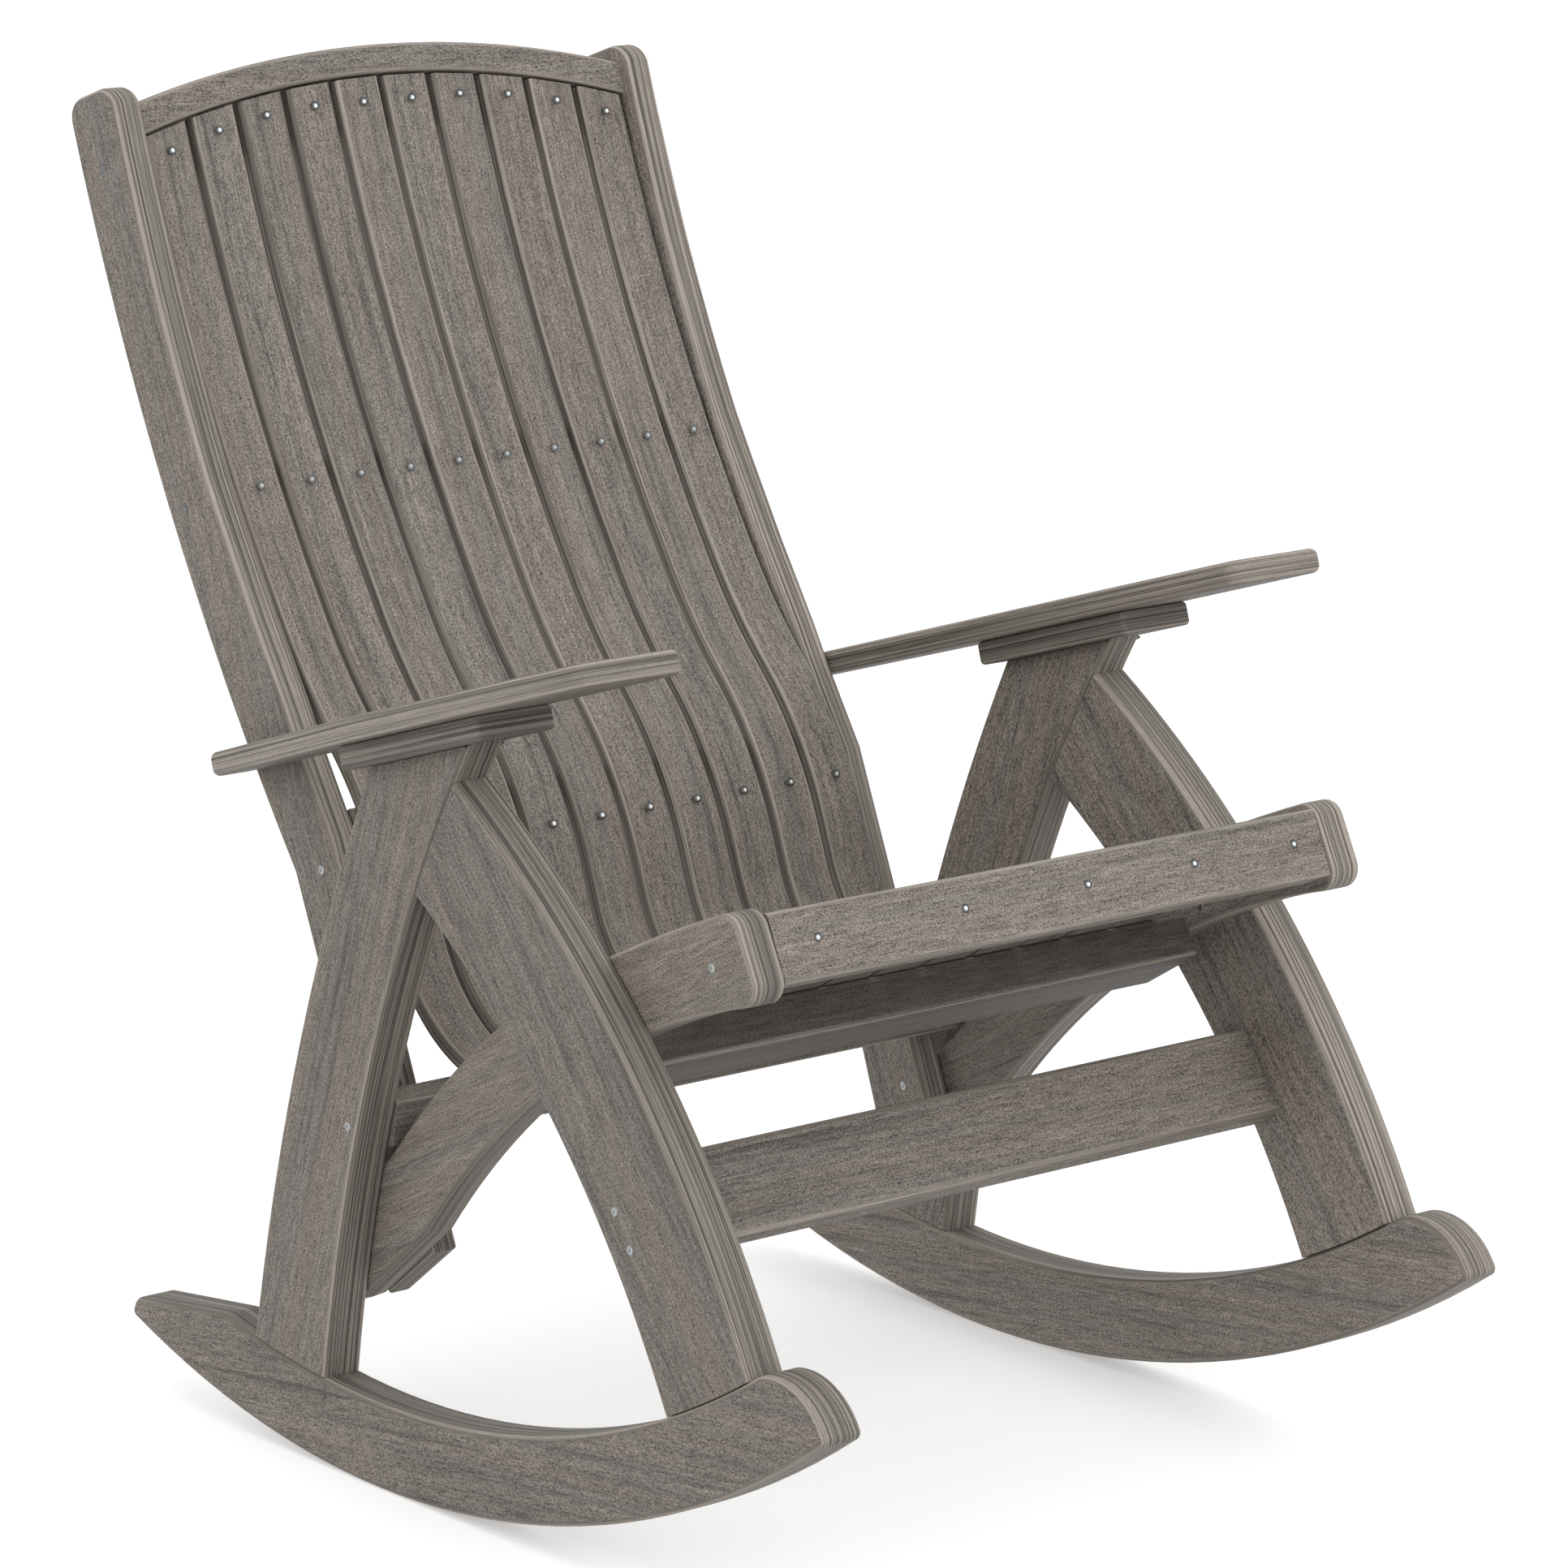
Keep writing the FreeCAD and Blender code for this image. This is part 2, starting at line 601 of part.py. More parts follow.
def make_seat_side(name, hand):
    """Side board of the seat, bent like a ski from the front board down behind the legs."""
    body = new_body(f"{name}_seat_side")
    sketch = new_sketch(body, "YZ_Plane", f"{name}_seat_side_outline")
    ends = [("side_front_y", "side_front_z"), ("side_chin_y", "side_chin_z"),
            ("side_heel_y", "side_heel_z"), ("side_tail_y", "side_tail_z")]
    draw(sketch, [
        ends[0],
        (*ends[1], "side_low_radius", -1),
        ("side_low_y", "side_low_z"),
        ("side_belly_y", "side_belly_z"),
        ends[2],
        ends[3],
        ("side_hip_y", "side_hip_z", "side_rear_radius", 1),
        ("side_top_y", "side_top_z", "side_front_radius", 1),
    ])
    board = pad(body, sketch, "side_thick")
    board = fillet(body, board, "side_corner", across(*ends))
    bevel(body, board, "side_bevel", on_faces(0, "side_thick"))
    place_across(body, hand, SIDE_FACE, "side_thick")


class SlatPath:
    """The line that the slats' front faces follow, from the crest down and out to the seat's front."""

    def __init__(self):
        self.point = (value("slat_top_y"), value("slat_top_z"))
        self.lean = value("back_lean_angle")
        self.stations = [(self.point, self.lean)]
        self.bends = []
        self.edge_tests = []
        self.bend("upper_radius", "upper_turn_angle")
        self.bend("waist_radius", "waist_turn_angle")
        self.bend("lumbar_radius", "-lumbar_turn_angle")
        self.run("lumbar_run")
        self.bend("bowl_radius", f"90 - ({self.lean}) + seat_rise_angle")
        self.run("seat_run")

    def bend(self, radius, turn):
        """Follow an arc. A positive turn hollows the front face."""
        angle = value(turn)
        sense = math.copysign(1, angle)
        centre = self.beside(self.point, self.lean, -sense * value(radius))
        self.lean += angle
        self.point = self.beside(centre, self.lean, sense * value(radius))
        self.bends.append((radius, sense))
        self.edge_tests.append(lies_on_circle(centre, value(radius)))
        self.stations.append((self.point, self.lean))

    def run(self, length):
        """Follow a straight line."""
        turn = math.radians(self.lean)
        start = self.point
        distance = value(length)
        self.point = (start[0] - distance * math.sin(turn), start[1] - distance * math.cos(turn))
        self.bends.append((None, 0))
        self.edge_tests.append(lies_on_line(start, self.point))
        self.stations.append((self.point, self.lean))

    def runs_along(self, edge):
        """Whether an edge of a slat lies along its front face."""
        start, lean = self.stations[0]
        beyond = (start[0] + math.sin(math.radians(lean)), start[1] + math.cos(math.radians(lean)))
        return any(test(edge) for test in [lies_on_line(start, beyond)] + self.edge_tests)

    @staticmethod
    def beside(point, lean, distance):
        """Point that lies square to the path, positive behind the slats."""
        turn = math.radians(lean)
        return point[0] + distance * math.cos(turn), point[1] - distance * math.sin(turn)

    def part_way(self, number, turn):
        """Point and lean part of the way along one bend."""
        radius, sense = self.bends[number]
        start, lean = self.stations[number]
        centre = self.beside(start, lean, -sense * value(radius))
        lean += sense * value(turn)
        return self.beside(centre, lean, sense * value(radius)), lean


path = SlatPath()
crest_turn = math.radians(value("back_lean_angle"))


def slat_outline():
    """Corners of a slat seen from the side, drawn past the crest so that its end can be cut."""
    start = path.stations[0][0]
    over = value("crest_rise")
    head = (start[0] + over * math.sin(crest_turn), start[1] + over * math.cos(crest_turn))
    thick = value("slat_thick")
    front = []
    rear = []
    for (point, lean), (radius, sense) in zip(path.stations, path.bends):
        back = path.beside(point, lean, thick)
        if radius is None:
            front.append(point)
        else:
            front.append((*point, radius, 1 if sense < 0 else -1))
        rear.append(back)
    front.append(path.stations[-1][0])
    rear.append(path.beside(*path.stations[-1], thick))
    corners = [head] + front
    for number in range(len(rear) - 1, 0, -1):
        radius, sense = path.bends[number - 1]
        if radius is None:
            corners.append(rear[number])
            continue
        grown = f"{radius} + slat_thick" if sense > 0 else f"{radius} - slat_thick"
        corners.append((*rear[number], grown, 1 if sense > 0 else -1))
    corners.append(rear[0])
    corners.append(path.beside(head, value("back_lean_angle"), thick))
    return corners


def lean_to_back(sketch, ahead):
    """Turn a front-view sketch to the lean of the upper back, at the slats' top point."""
    y, z = path.beside(path.stations[0][0], value("back_lean_angle"), -ahead)
    turned = Rotation(Vector(1, 0, 0), -value("back_lean_angle"))
    sketch.AttachmentOffset = Placement(Vector(0, z, -y), turned)


def make_slat(number):
    """One bent slat, its upper end cut to the arch of the crest rail."""
    body = new_body(f"slat_{number + 1}")
    sketch = new_sketch(body, "YZ_Plane", f"slat_{number + 1}_outline")
    draw(sketch, slat_outline())
    board = pad(body, sketch, "slat_width")
    middle = f"({number} - (slat_count - 1) / 2) * (slat_width + slat_gap)"
    offset = value(f"{middle} - slat_width / 2")
    waste = new_sketch(body, "XZ_Plane", f"slat_{number + 1}_end_waste")
    lean_to_back(waste, value("slat_thick"))
    radius = value("lip_radius")
    arch = value("lip_rise - slat_end_gap")
    reach = value("slat_width")
    lows = [arch - radius + math.sqrt(radius ** 2 - (offset + x) ** 2) for x in (-reach, 2 * reach)]
    high = value("crest_rise + slat_width")
    draw(waste, [(-reach, high), (-reach, lows[0], radius, -1), (2 * reach, lows[1]),
                 (2 * reach, high)])
    pocket(body, waste)
    bevel(body, body.Tip, "slat_bevel",
          on_faces(0, "slat_width", lambda edge: not path.runs_along(edge)))
    body.setExpression("Placement.Base.x", named(f"{middle} - slat_width / 2"))


def make_crest():
    """Arched crest rail, with a rebate in front that takes the slats' upper ends."""
    body = new_body("crest_rail")
    outline = new_sketch(body, "XZ_Plane", "crest_outline")
    half = value(POST_FACE)

    def arch(rise, radius):
        return value(rise) - value(radius) + math.sqrt(value(radius) ** 2 - half ** 2)
    top = arch("crest_rise", "crest_radius")
    low = arch("crest_rise - crest_depth", "crest_radius")
    draw(outline, [(half, top, "crest_radius", 1), (-half, top), (-half, low, "crest_radius", -1),
                   (half, low)])
    board = pad(body, outline, "crest_thick", reverse=True)
    rebate = new_sketch(body, "XZ_Plane", "crest_rebate")
    lip = arch("lip_rise", "lip_radius")
    below = low - value("crest_depth")
    draw(rebate, [(half, lip, "lip_radius", 1), (-half, lip), (-half, below), (half, below)])
    pocket(body, rebate, length="crest_lip + slat_thick")

    def long_edge(edge):
        points = ends_and_middle(edge)
        return abs(points[0].x - points[2].x) > half and points[1].z > top
    bevel(body, body.Tip, "crest_bevel", long_edge)
    y, z = path.beside(path.stations[0][0], value("back_lean_angle"), -value("crest_lip"))
    turned = Rotation(Vector(1, 0, 0), -value("back_lean_angle"))
    body.Placement = Placement(Vector(0, y, z), turned)


def make_bar(name, place, lean, depth, tall, end, edge, origin):
    """Straight bar along X. The place is the middle of its front, the middle of its top or its foot."""
    body = new_body(name)
    sketch = new_sketch(body, "YZ_Plane", f"{name}_section")
    y0, z0 = {"front": ("0", f"-({tall}) / 2"), "top": ("0", f"-({tall})"),
              "foot": ("0", "0"), "middle": (f"-({depth}) / 2", f"-({tall}) / 2")}[origin]
    y1, z1 = f"({y0}) + ({depth})", f"({z0}) + ({tall})"
    draw(sketch, [(y0, z0), (y1, z0), (y1, z1), (y0, z1)])
    board = pad(body, sketch, f"2 * ({end})")
    bevel(body, board, edge, across())
    turned = Rotation(Vector(1, 0, 0), -lean)
    body.Placement = Placement(Vector(0, *place), turned)
    body.setExpression("Placement.Base.x", named(f"-({end})"))


def make_slat_rails():
    """Rails that carry the slats: at mid back, behind the waist and under the seat's front."""
    for name, bend, turn, depth in (("mid_rail", 0, "mid_rail_turn_angle", "mid_rail_depth"),
                                    ("lumbar_rail", 2, "lumbar_rail_turn_angle", "lumbar_rail_depth")):
        point, lean = path.part_way(bend, turn)
        seat = path.beside(point, lean, value("slat_thick + fit_gap"))
        make_bar(name, seat, lean, depth, "rail_tall", POST_FACE, "rail_bevel", "front")
    end, lean = path.stations[-1]
    along = math.radians(lean)
    back = value("seat_rail_set")
    under = path.beside(end, lean, value("slat_thick"))
    corner = (under[0] + back * math.sin(along), under[1] + back * math.cos(along))
    make_bar("front_seat_rail", corner, value("seat_rise_angle"), "seat_rail_depth", "seat_rail_tall",
             SIDE_FACE, "rail_bevel", "top")


def make_front_board():
    """Front board across the seat, leaning out at its foot."""
    lean = math.radians(value("board_lean_angle"))
    tall = value("board_tall")
    foot = (value("board_top_y") - tall * math.sin(lean), value("board_top_z") - tall * math.cos(lean))
    make_bar("front_board", foot, value("board_lean_angle"), "board_thick", "board_tall", SIDE_FACE,
             "board_bevel", "foot")


def make_stretchers():
    """Stretchers between the front legs and between the rear legs."""
    make_bar("front_stretcher", (value("front_stretcher_y"), value("front_stretcher_z")),
             value("front_stretcher_lean_angle"), "front_stretcher_thick", "front_stretcher_tall",
             LEG_FACE, "rail_bevel", "foot")
    make_bar("rear_stretcher", (value("rear_stretcher_y"), value("rear_stretcher_z")),
             value("-rear_stretcher_lean_angle"), "rear_stretcher_thick", "rear_stretcher_tall",
             LEG_FACE, "rail_bevel", "middle")


for name, hand in HANDS:
    make_runner(name, hand)
    make_rear_leg(name, hand)
    make_front_leg(name, hand)
    make_cleat(name, hand)
    make_arm(name, hand)
    make_post(name, hand)
    make_seat_side(name, hand)
for number in range(int(value("slat_count"))):
    make_slat(number)
make_crest()
make_slat_rails()
make_front_board()
make_stretchers()
document.recompute()

for item in document.Objects:
    assert not {"Invalid", "Error"} & set(item.State), f"{item.Name} failed: {item.State}"
for body in parts:
    shape = body.Shape
    assert not shape.isNull() and shape.isValid(), f"{body.Label} is not a sound solid"

os.makedirs("parts", exist_ok=True)
for body in parts:
    body.Shape.exportStep(f"parts/{body.Label}.step")
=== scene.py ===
import math
import random

import bmesh
import bpy
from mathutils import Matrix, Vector


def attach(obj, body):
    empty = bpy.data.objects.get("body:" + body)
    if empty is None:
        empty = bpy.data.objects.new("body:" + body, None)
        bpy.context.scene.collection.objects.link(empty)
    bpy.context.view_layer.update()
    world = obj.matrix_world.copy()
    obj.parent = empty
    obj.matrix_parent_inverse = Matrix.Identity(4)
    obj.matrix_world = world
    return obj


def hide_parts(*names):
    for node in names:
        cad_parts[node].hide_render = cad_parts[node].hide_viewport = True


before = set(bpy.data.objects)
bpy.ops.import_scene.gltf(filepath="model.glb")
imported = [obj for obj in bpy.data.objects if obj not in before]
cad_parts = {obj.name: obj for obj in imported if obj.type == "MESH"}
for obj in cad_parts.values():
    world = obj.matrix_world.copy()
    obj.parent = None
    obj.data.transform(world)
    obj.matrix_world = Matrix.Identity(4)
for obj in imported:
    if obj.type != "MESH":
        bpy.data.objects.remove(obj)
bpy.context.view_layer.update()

# Slatted garden rocking chair in weathered grey-brown boards. X runs across the chair, the front
# faces -Y and Z is up. Sizes are in metres.

MM = 0.001
ACROSS = Vector((1, 0, 0))

# Round of the boards' long edges, and of the ends that butt on another board
LEG_ROUND = 5 * MM
POST_ROUND = 6 * MM
ARM_ROUND = 6 * MM
CLEAT_ROUND = 4 * MM
CREST_ROUND = 4.5 * MM
CREST_LIP_ROUND = 4.5 * MM
KEEN_ROUND = 0.5 * MM
ROUND_STEPS = 5
SHARP_ANGLE = math.radians(40)

# How the CAD boards' outlines are read: distances, shares of a unit normal, and turns in degrees
MERGE_REACH = 0.02 * MM
SAME_PLACE = 0.05 * MM
SQUARE_ENOUGH = 0.02
STRAIGHT_ENOUGH = 0.02
SLIP_REACH = 4 * MM
SLIP_TURN = 7
CORNER_TURN = 25
LONGEST_BEVEL = 8 * MM

# Directions of the grain in the side view, in degrees from +Y towards +Z
SIDE_BOARDS = {"runner": (174, LEG_ROUND), "rear_leg": (-71.5, LEG_ROUND),
               "front_leg": (231, LEG_ROUND), "back_post": (247, POST_ROUND),
               "seat_side": (-27, LEG_ROUND)}
ARM_SLOPE = 16.6

# Shades of the boards, and the numbers that shift the grain of each board. A side's shade is painted
# light: the right-hand boards are painted lighter against the shade that falls on them
SIDE_PAINTED_LIGHT = {"left": 0.97, "right": 1.18}
# Arm cleats painted darker: painted shade under the arms
CLEAT_PAINTED_SHADE = 0.72
TONE_RANGE = (0.95, 1.05)
ARM_SEED = 11
CLEAT_SEED = 13
BAR_SEED = 21
CREST_SEED = 31
GRAIN_SHIFT = (1.37, 0.29, 0.53)
EDGE_SPREAD = 8

# Bars across the chair: round of the corners, and shade of the board; the front seat rail's low shade
# is painted shadow under the front board
BARS = {"mid_rail": (4 * MM, 1.0), "lumbar_rail": (4 * MM, 1.0), "front_seat_rail": (5 * MM, 0.46),
        "front_board": (4 * MM, 0.98), "front_stretcher": (7 * MM, 0.97),
        "rear_stretcher": (5 * MM, 0.95)}

# How far the back posts' front edge swells forward of an even bend, at heights from the floor
POST_SWELL = [(500 * MM, 0), (545 * MM, 4 * MM), (605 * MM, 8 * MM), (690 * MM, 5 * MM),
              (775 * MM, 1 * MM), (900 * MM, 2 * MM), (1000 * MM, 4 * MM), (1080 * MM, 5 * MM)]

# Slats: one line of bends (radius, degrees) and straight runs (length, none) from top to front
SLAT_COUNT = 10
SLAT_WIDTH = 44 * MM
SLAT_PITCH = 50.55 * MM
SLAT_THICK = 12.5 * MM
SLAT_ROUND = 3.5 * MM
SLAT_BACK_ROUND = 0.4 * MM
SLAT_TOP = Vector((0, 460.9 * MM, 1022 * MM))
BACK_LEAN = 19.3
SLAT_TONES = (0.94, 1.06)
SLAT_TONE_SEED = 5
SLAT_SHIFT = (1.71, 0.37, 0.11)
SLAT_END_REACH = 0.5 * MM
LINE_STEP = 2
FEWEST_STEPS = 6
SLAT_LINE = [(1672 * MM, 14.2), (525 * MM, 11.4), (334 * MM, -25), (32 * MM, None),
             (137.5 * MM, 100.6), (318.5 * MM, None)]

# Crest rail over the slats' ends
LIP_RISE = 49 * MM
LIP_RADIUS = 900 * MM
SLAT_END_GAP = 2 * MM
CREST_RISE = 74.5 * MM
CREST_RADIUS = 980 * MM
CREST_DEPTH = 72 * MM
CREST_THICK = 42.3 * MM
CREST_LIP = 2.5 * MM
CREST_HALF = 253 * MM
CREST_STATIONS = 48

# Screws: where their rows and single spots lie, in millimetres, as (y, z) or as x
SLAT_ROW_TOP = [(457.1, 1021.5), (461.7, 1034.3), (464.8, 1042.9), (466.3, 1046.8), (466.5, 1046.8)]
SLAT_ROW_MID = (337.2, 756.7)
SLAT_ROW_LOW = (144.6, 484.2)
MID_ROW_LEAN = 29.6
LOW_ROW_LEAN = 26
POST_SPOTS = [(481.1, 1008.8), (371.4, 738.0), (186.7, 467.6)]
POST_INNER_SPOT = (85.3, 217.4)
SIDE_SPOT = (-354.7, 494.5)
SIDE_INNER_SPOT = (-252.2, 433.5)
REAR_LEG_SPOT = (60, 291.8)
FRONT_LEG_SPOTS = [(-282.9, 297.7), (-301.5, 271.5)]
BOARD_X = [-239.6, -93.8, 31.3, 143.1, 250.4]
BOARD_SPOT = (-390.3, 513.5)
BOARD_LEAN = 23.5
POST_FACES = (253, 280.3)
SIDE_FACES = (280.3, 312.1)
LEG_OUTER = 348.9

# A screw's ring and socket: how bright each is, painted by the way the screw faces: painted
# reflection, with a painted highlight in the bright sockets
FRONT_PAINTED_REFLECTION = (0.08, 0.85)
DULL_PAINTED_REFLECTION = (0.13, 0.5)
OUTER_PAINTED_REFLECTION = (0.36, 0.2)
FAINT_PAINTED_REFLECTION = (0.15, 0.18)

# A screw head's rings, in millimetres: radius, 1 if square, height, and how far it is in the socket
SCREW_RINGS = [(3.7, 0, -0.1, 0), (3.7, 0, 0.3, 0), (3.3, 0, 0.6, 0), (2.3, 0, 0.75, 0),
               (2.0, 0, 0.72, 0.45), (1.15, 1, 0.7, 0.45), (1.1, 1, 0.62, 1), (0.9, 1, 0.55, 1)]
SCREW_SIDES = 24
SCREW_SHARP_ANGLE = math.radians(35)

# Patterns in the boards, as marks in a metre along, across and through, then detail and roughness
FLECKS = ((560, 1150, 1150), 1.0, 0.5)
FIBRES = ((40, 460, 460), 2.0, 0.6)
STREAKS = ((4, 120, 120), 3.0, 0.62)
CLOUDS = ((1.8, 60, 60), 2.0, 0.5)
LAYERS = ((1.1, 1.1, 210), 2.0, 0.5)
THREADS = ((1.6, 1.6, 560), 3.0, 0.7)
SCREW_MARKS = ((900, 900, 900), 2.0, 0.6)
FLOOR_MOTTLE = ((2, 2, 2), 2.0, 0.5)

# Where a pattern starts and ends to show, between its lowest 0 and its highest 1
CLOUD_SPAN = (0.34, 0.66)
DARK_SPAN = (0.5, 0.74)
DARK_CLOUD_SPAN = (0.3, 0.6)
PALE_SPAN = (0.5, 0.76)
LAYER_SPAN = (0.38, 0.62)
THREAD_SPAN = (0.5, 0.58)
PALE_LINE_SPAN = (0.5, 0.6)

# How strongly each pattern shows in the boards
DARK_SHARE = 0.8
PALE_SHARE = 0.6
FLECK_DEPTH = 3.2
FIBRE_DEPTH = 1.4
EDGE_FIBRE_DEPTH = 0.5
PALE_LINE_SHARE = 0.65
# The arris values paint the rounded edges lighter, partly as wear and partly as painted highlight;
# the third lifts the arrises out of the painted shade in a board's tone
ARRIS_PALING_AND_HIGHLIGHT = 0.25
LINE_PALING_AND_HIGHLIGHT = 0.6
ARRIS_HIGHLIGHT_LIFT = 0.75
# Slats' rounded edges painted lighter, partly as wear and partly as painted highlight, more on their
# front edges
SLAT_ARRIS = 0.5
SLAT_FRONT_HIGHLIGHT = 0.15
FLECK_RELIEF = 0.8
THREAD_RELIEF = 0.6
FIBRE_RELIEF = 0.4
RELIEF_STRENGTH = 0.4
RELIEF_HEIGHT = 0.6 * MM
BOARD_ROUGHNESS = 0.52
FLECK_ROUGHNESS = 0.2
BOARD_SPECULAR = 0.3
MEAN = 0.5

# The screws' steel: least brightness and roughness, and what the marks add to each
STEEL_TONE = (0.75, 0.5)
STEEL_ROUGHNESS = (0.3, 0.15)

# Colours of the boards and the screws
BROWN_EARTH = (0.197, 0.168, 0.142, 1)
GREY_EARTH = (0.176, 0.159, 0.141, 1)
DARK_STREAK = (0.082, 0.07, 0.06, 1)
PALE_STREAK = (0.27, 0.235, 0.2, 1)
PALE_LAYER = (0.235, 0.21, 0.182, 1)
DARK_LAYER = (0.15, 0.137, 0.12, 1)
# Pale colour of worn grain lines on the edges and of the rounded arrises, which are partly worn and
# partly painted highlight
WEAR_AND_HIGHLIGHT_COLOUR = (0.37, 0.325, 0.28, 1)
STEEL = (0.95, 0.99, 1.0, 1)
WHITE = (1, 1, 1, 1)

# Studio: floor, sky brightness from low to high, and soft lamps as place, size and power
FLOOR_SIZE = 120
FLOOR_TONE = 0.9
FLOOR_MOTTLE_DEPTH = 0.02
FLOOR_ROUGHNESS = 0.9
FLOOR_GLOW = 0.3
SKY_LOW = 0.6
SKY_HIGH = 1.05
SKY_SPAN = (-0.5, 0.45)
LAMPS = [("front_lamp", (0.6, -5.5, 3.2), 3.5, 90), ("left_lamp", (-5.5, -1.0, 2.4), 3.5, 60)]
LAMP_TARGET = Vector((0, 0, 0.5))

# Camera: lens and sensor in millimetres, place and the way it looks
LENS = 150.44
SENSOR = 36
FARTHEST = 200
CAMERA_PLACE = (-3.27584, -4.02803, 1.66524)
CAMERA_AIM = Vector((0.622054, 0.753333, -0.213397))


class Signal:
    """An output socket that can be reckoned with: each operator adds a Math node."""

    def __init__(self, graph, socket):
        self.graph = graph
        self.socket = socket

    def maths(self, operation, *others):
        return self.graph.add("ShaderNodeMath", {"operation": operation}, (self, *others))

    def __add__(self, other):
        return self.maths("ADD", other)

    def __sub__(self, other):
        return self.maths("SUBTRACT", other)

    def __rsub__(self, other):
        return self.graph.add("ShaderNodeMath", {"operation": "SUBTRACT"}, (other, self))

    def __mul__(self, other):
        return self.maths("MULTIPLY", other)

    def __truediv__(self, other):
        return self.maths("DIVIDE", other)

    def __gt__(self, other):
        return self.maths("GREATER_THAN", other)

    def __lt__(self, other):
        return self.maths("LESS_THAN", other)

    __radd__ = __add__
    __rmul__ = __mul__

    def up(self):
        """The second output of the node that gives this signal."""
        return Signal(self.graph, self.socket.node.outputs[1])


class Graph:
    """A node tree that is built by expressions."""

    def __init__(self, tree):
        self.tree = tree

    def add(self, kind, settings=None, values=(), output=0, **named):
        """A node of a kind with its settings first, then its sockets in order or by name."""
        node = self.tree.nodes.new(kind)
        for key, setting in (settings or {}).items():
            setattr(node, key, setting)
        for index, entry in enumerate(values):
            self.plug(node.inputs[index], entry)
        for name, entry in named.items():
            self.plug(node.inputs[name.replace("_", " ")], entry)
        return Signal(self, node.outputs[output])

    def plug(self, socket, entry):
        if isinstance(entry, Signal):
            self.tree.links.new(entry.socket, socket)
        elif entry is not None:
            socket.default_value = entry


class Finish(Graph):
    """A material with one Principled shader at its end."""

    def __init__(self, name):
        self.material = bpy.data.materials.new(name)
        self.material.use_nodes = True
        super().__init__(self.material.node_tree)
        self.tree.nodes.clear()
        self.shader = self.tree.nodes.new("ShaderNodeBsdfPrincipled")
        output = self.tree.nodes.new("ShaderNodeOutputMaterial")
        self.tree.links.new(self.shader.outputs[0], output.inputs[0])

    def set(self, **sockets):
        for name, entry in sockets.items():
            self.plug(self.shader.inputs[name.replace("_", " ")], entry)

    def stored(self, name, output):
        """A value that each point of the mesh carries: 2 for a number, 1 for a vector."""
        return self.add("ShaderNodeAttribute", {"attribute_name": name}, output=output)

    def pattern(self, place, scales, detail, roughness):
        """Even noise from 0 to 1, with its own number of marks in a metre each way."""
        stretched = self.add("ShaderNodeVectorMath", {"operation": "MULTIPLY"}, (place, scales))
        return self.add("ShaderNodeTexNoise", {}, Vector=stretched, Scale=1.0, Detail=detail,
                        Roughness=roughness)

    def between(self, value, low, high):
        """The value drawn out so that low gives 0 and high gives 1, and held there."""
        return self.add("ShaderNodeMapRange", {"interpolation_type": "SMOOTHSTEP"},
                        (value, low, high, 0.0, 1.0))

    def mix(self, factor, first, second, blend="MIX"):
        """Two colours mixed by a factor."""
        node = self.tree.nodes.new("ShaderNodeMix")
        node.data_type = "RGBA"
        node.blend_type = blend
        self.plug(node.inputs[0], factor)
        self.plug(node.inputs[6], first)
        self.plug(node.inputs[7], second)
        return Signal(self, node.outputs[2])

    def grey(self, value):
        """A number as a grey colour."""
        return self.add("ShaderNodeCombineColor", {}, (value, value, value))


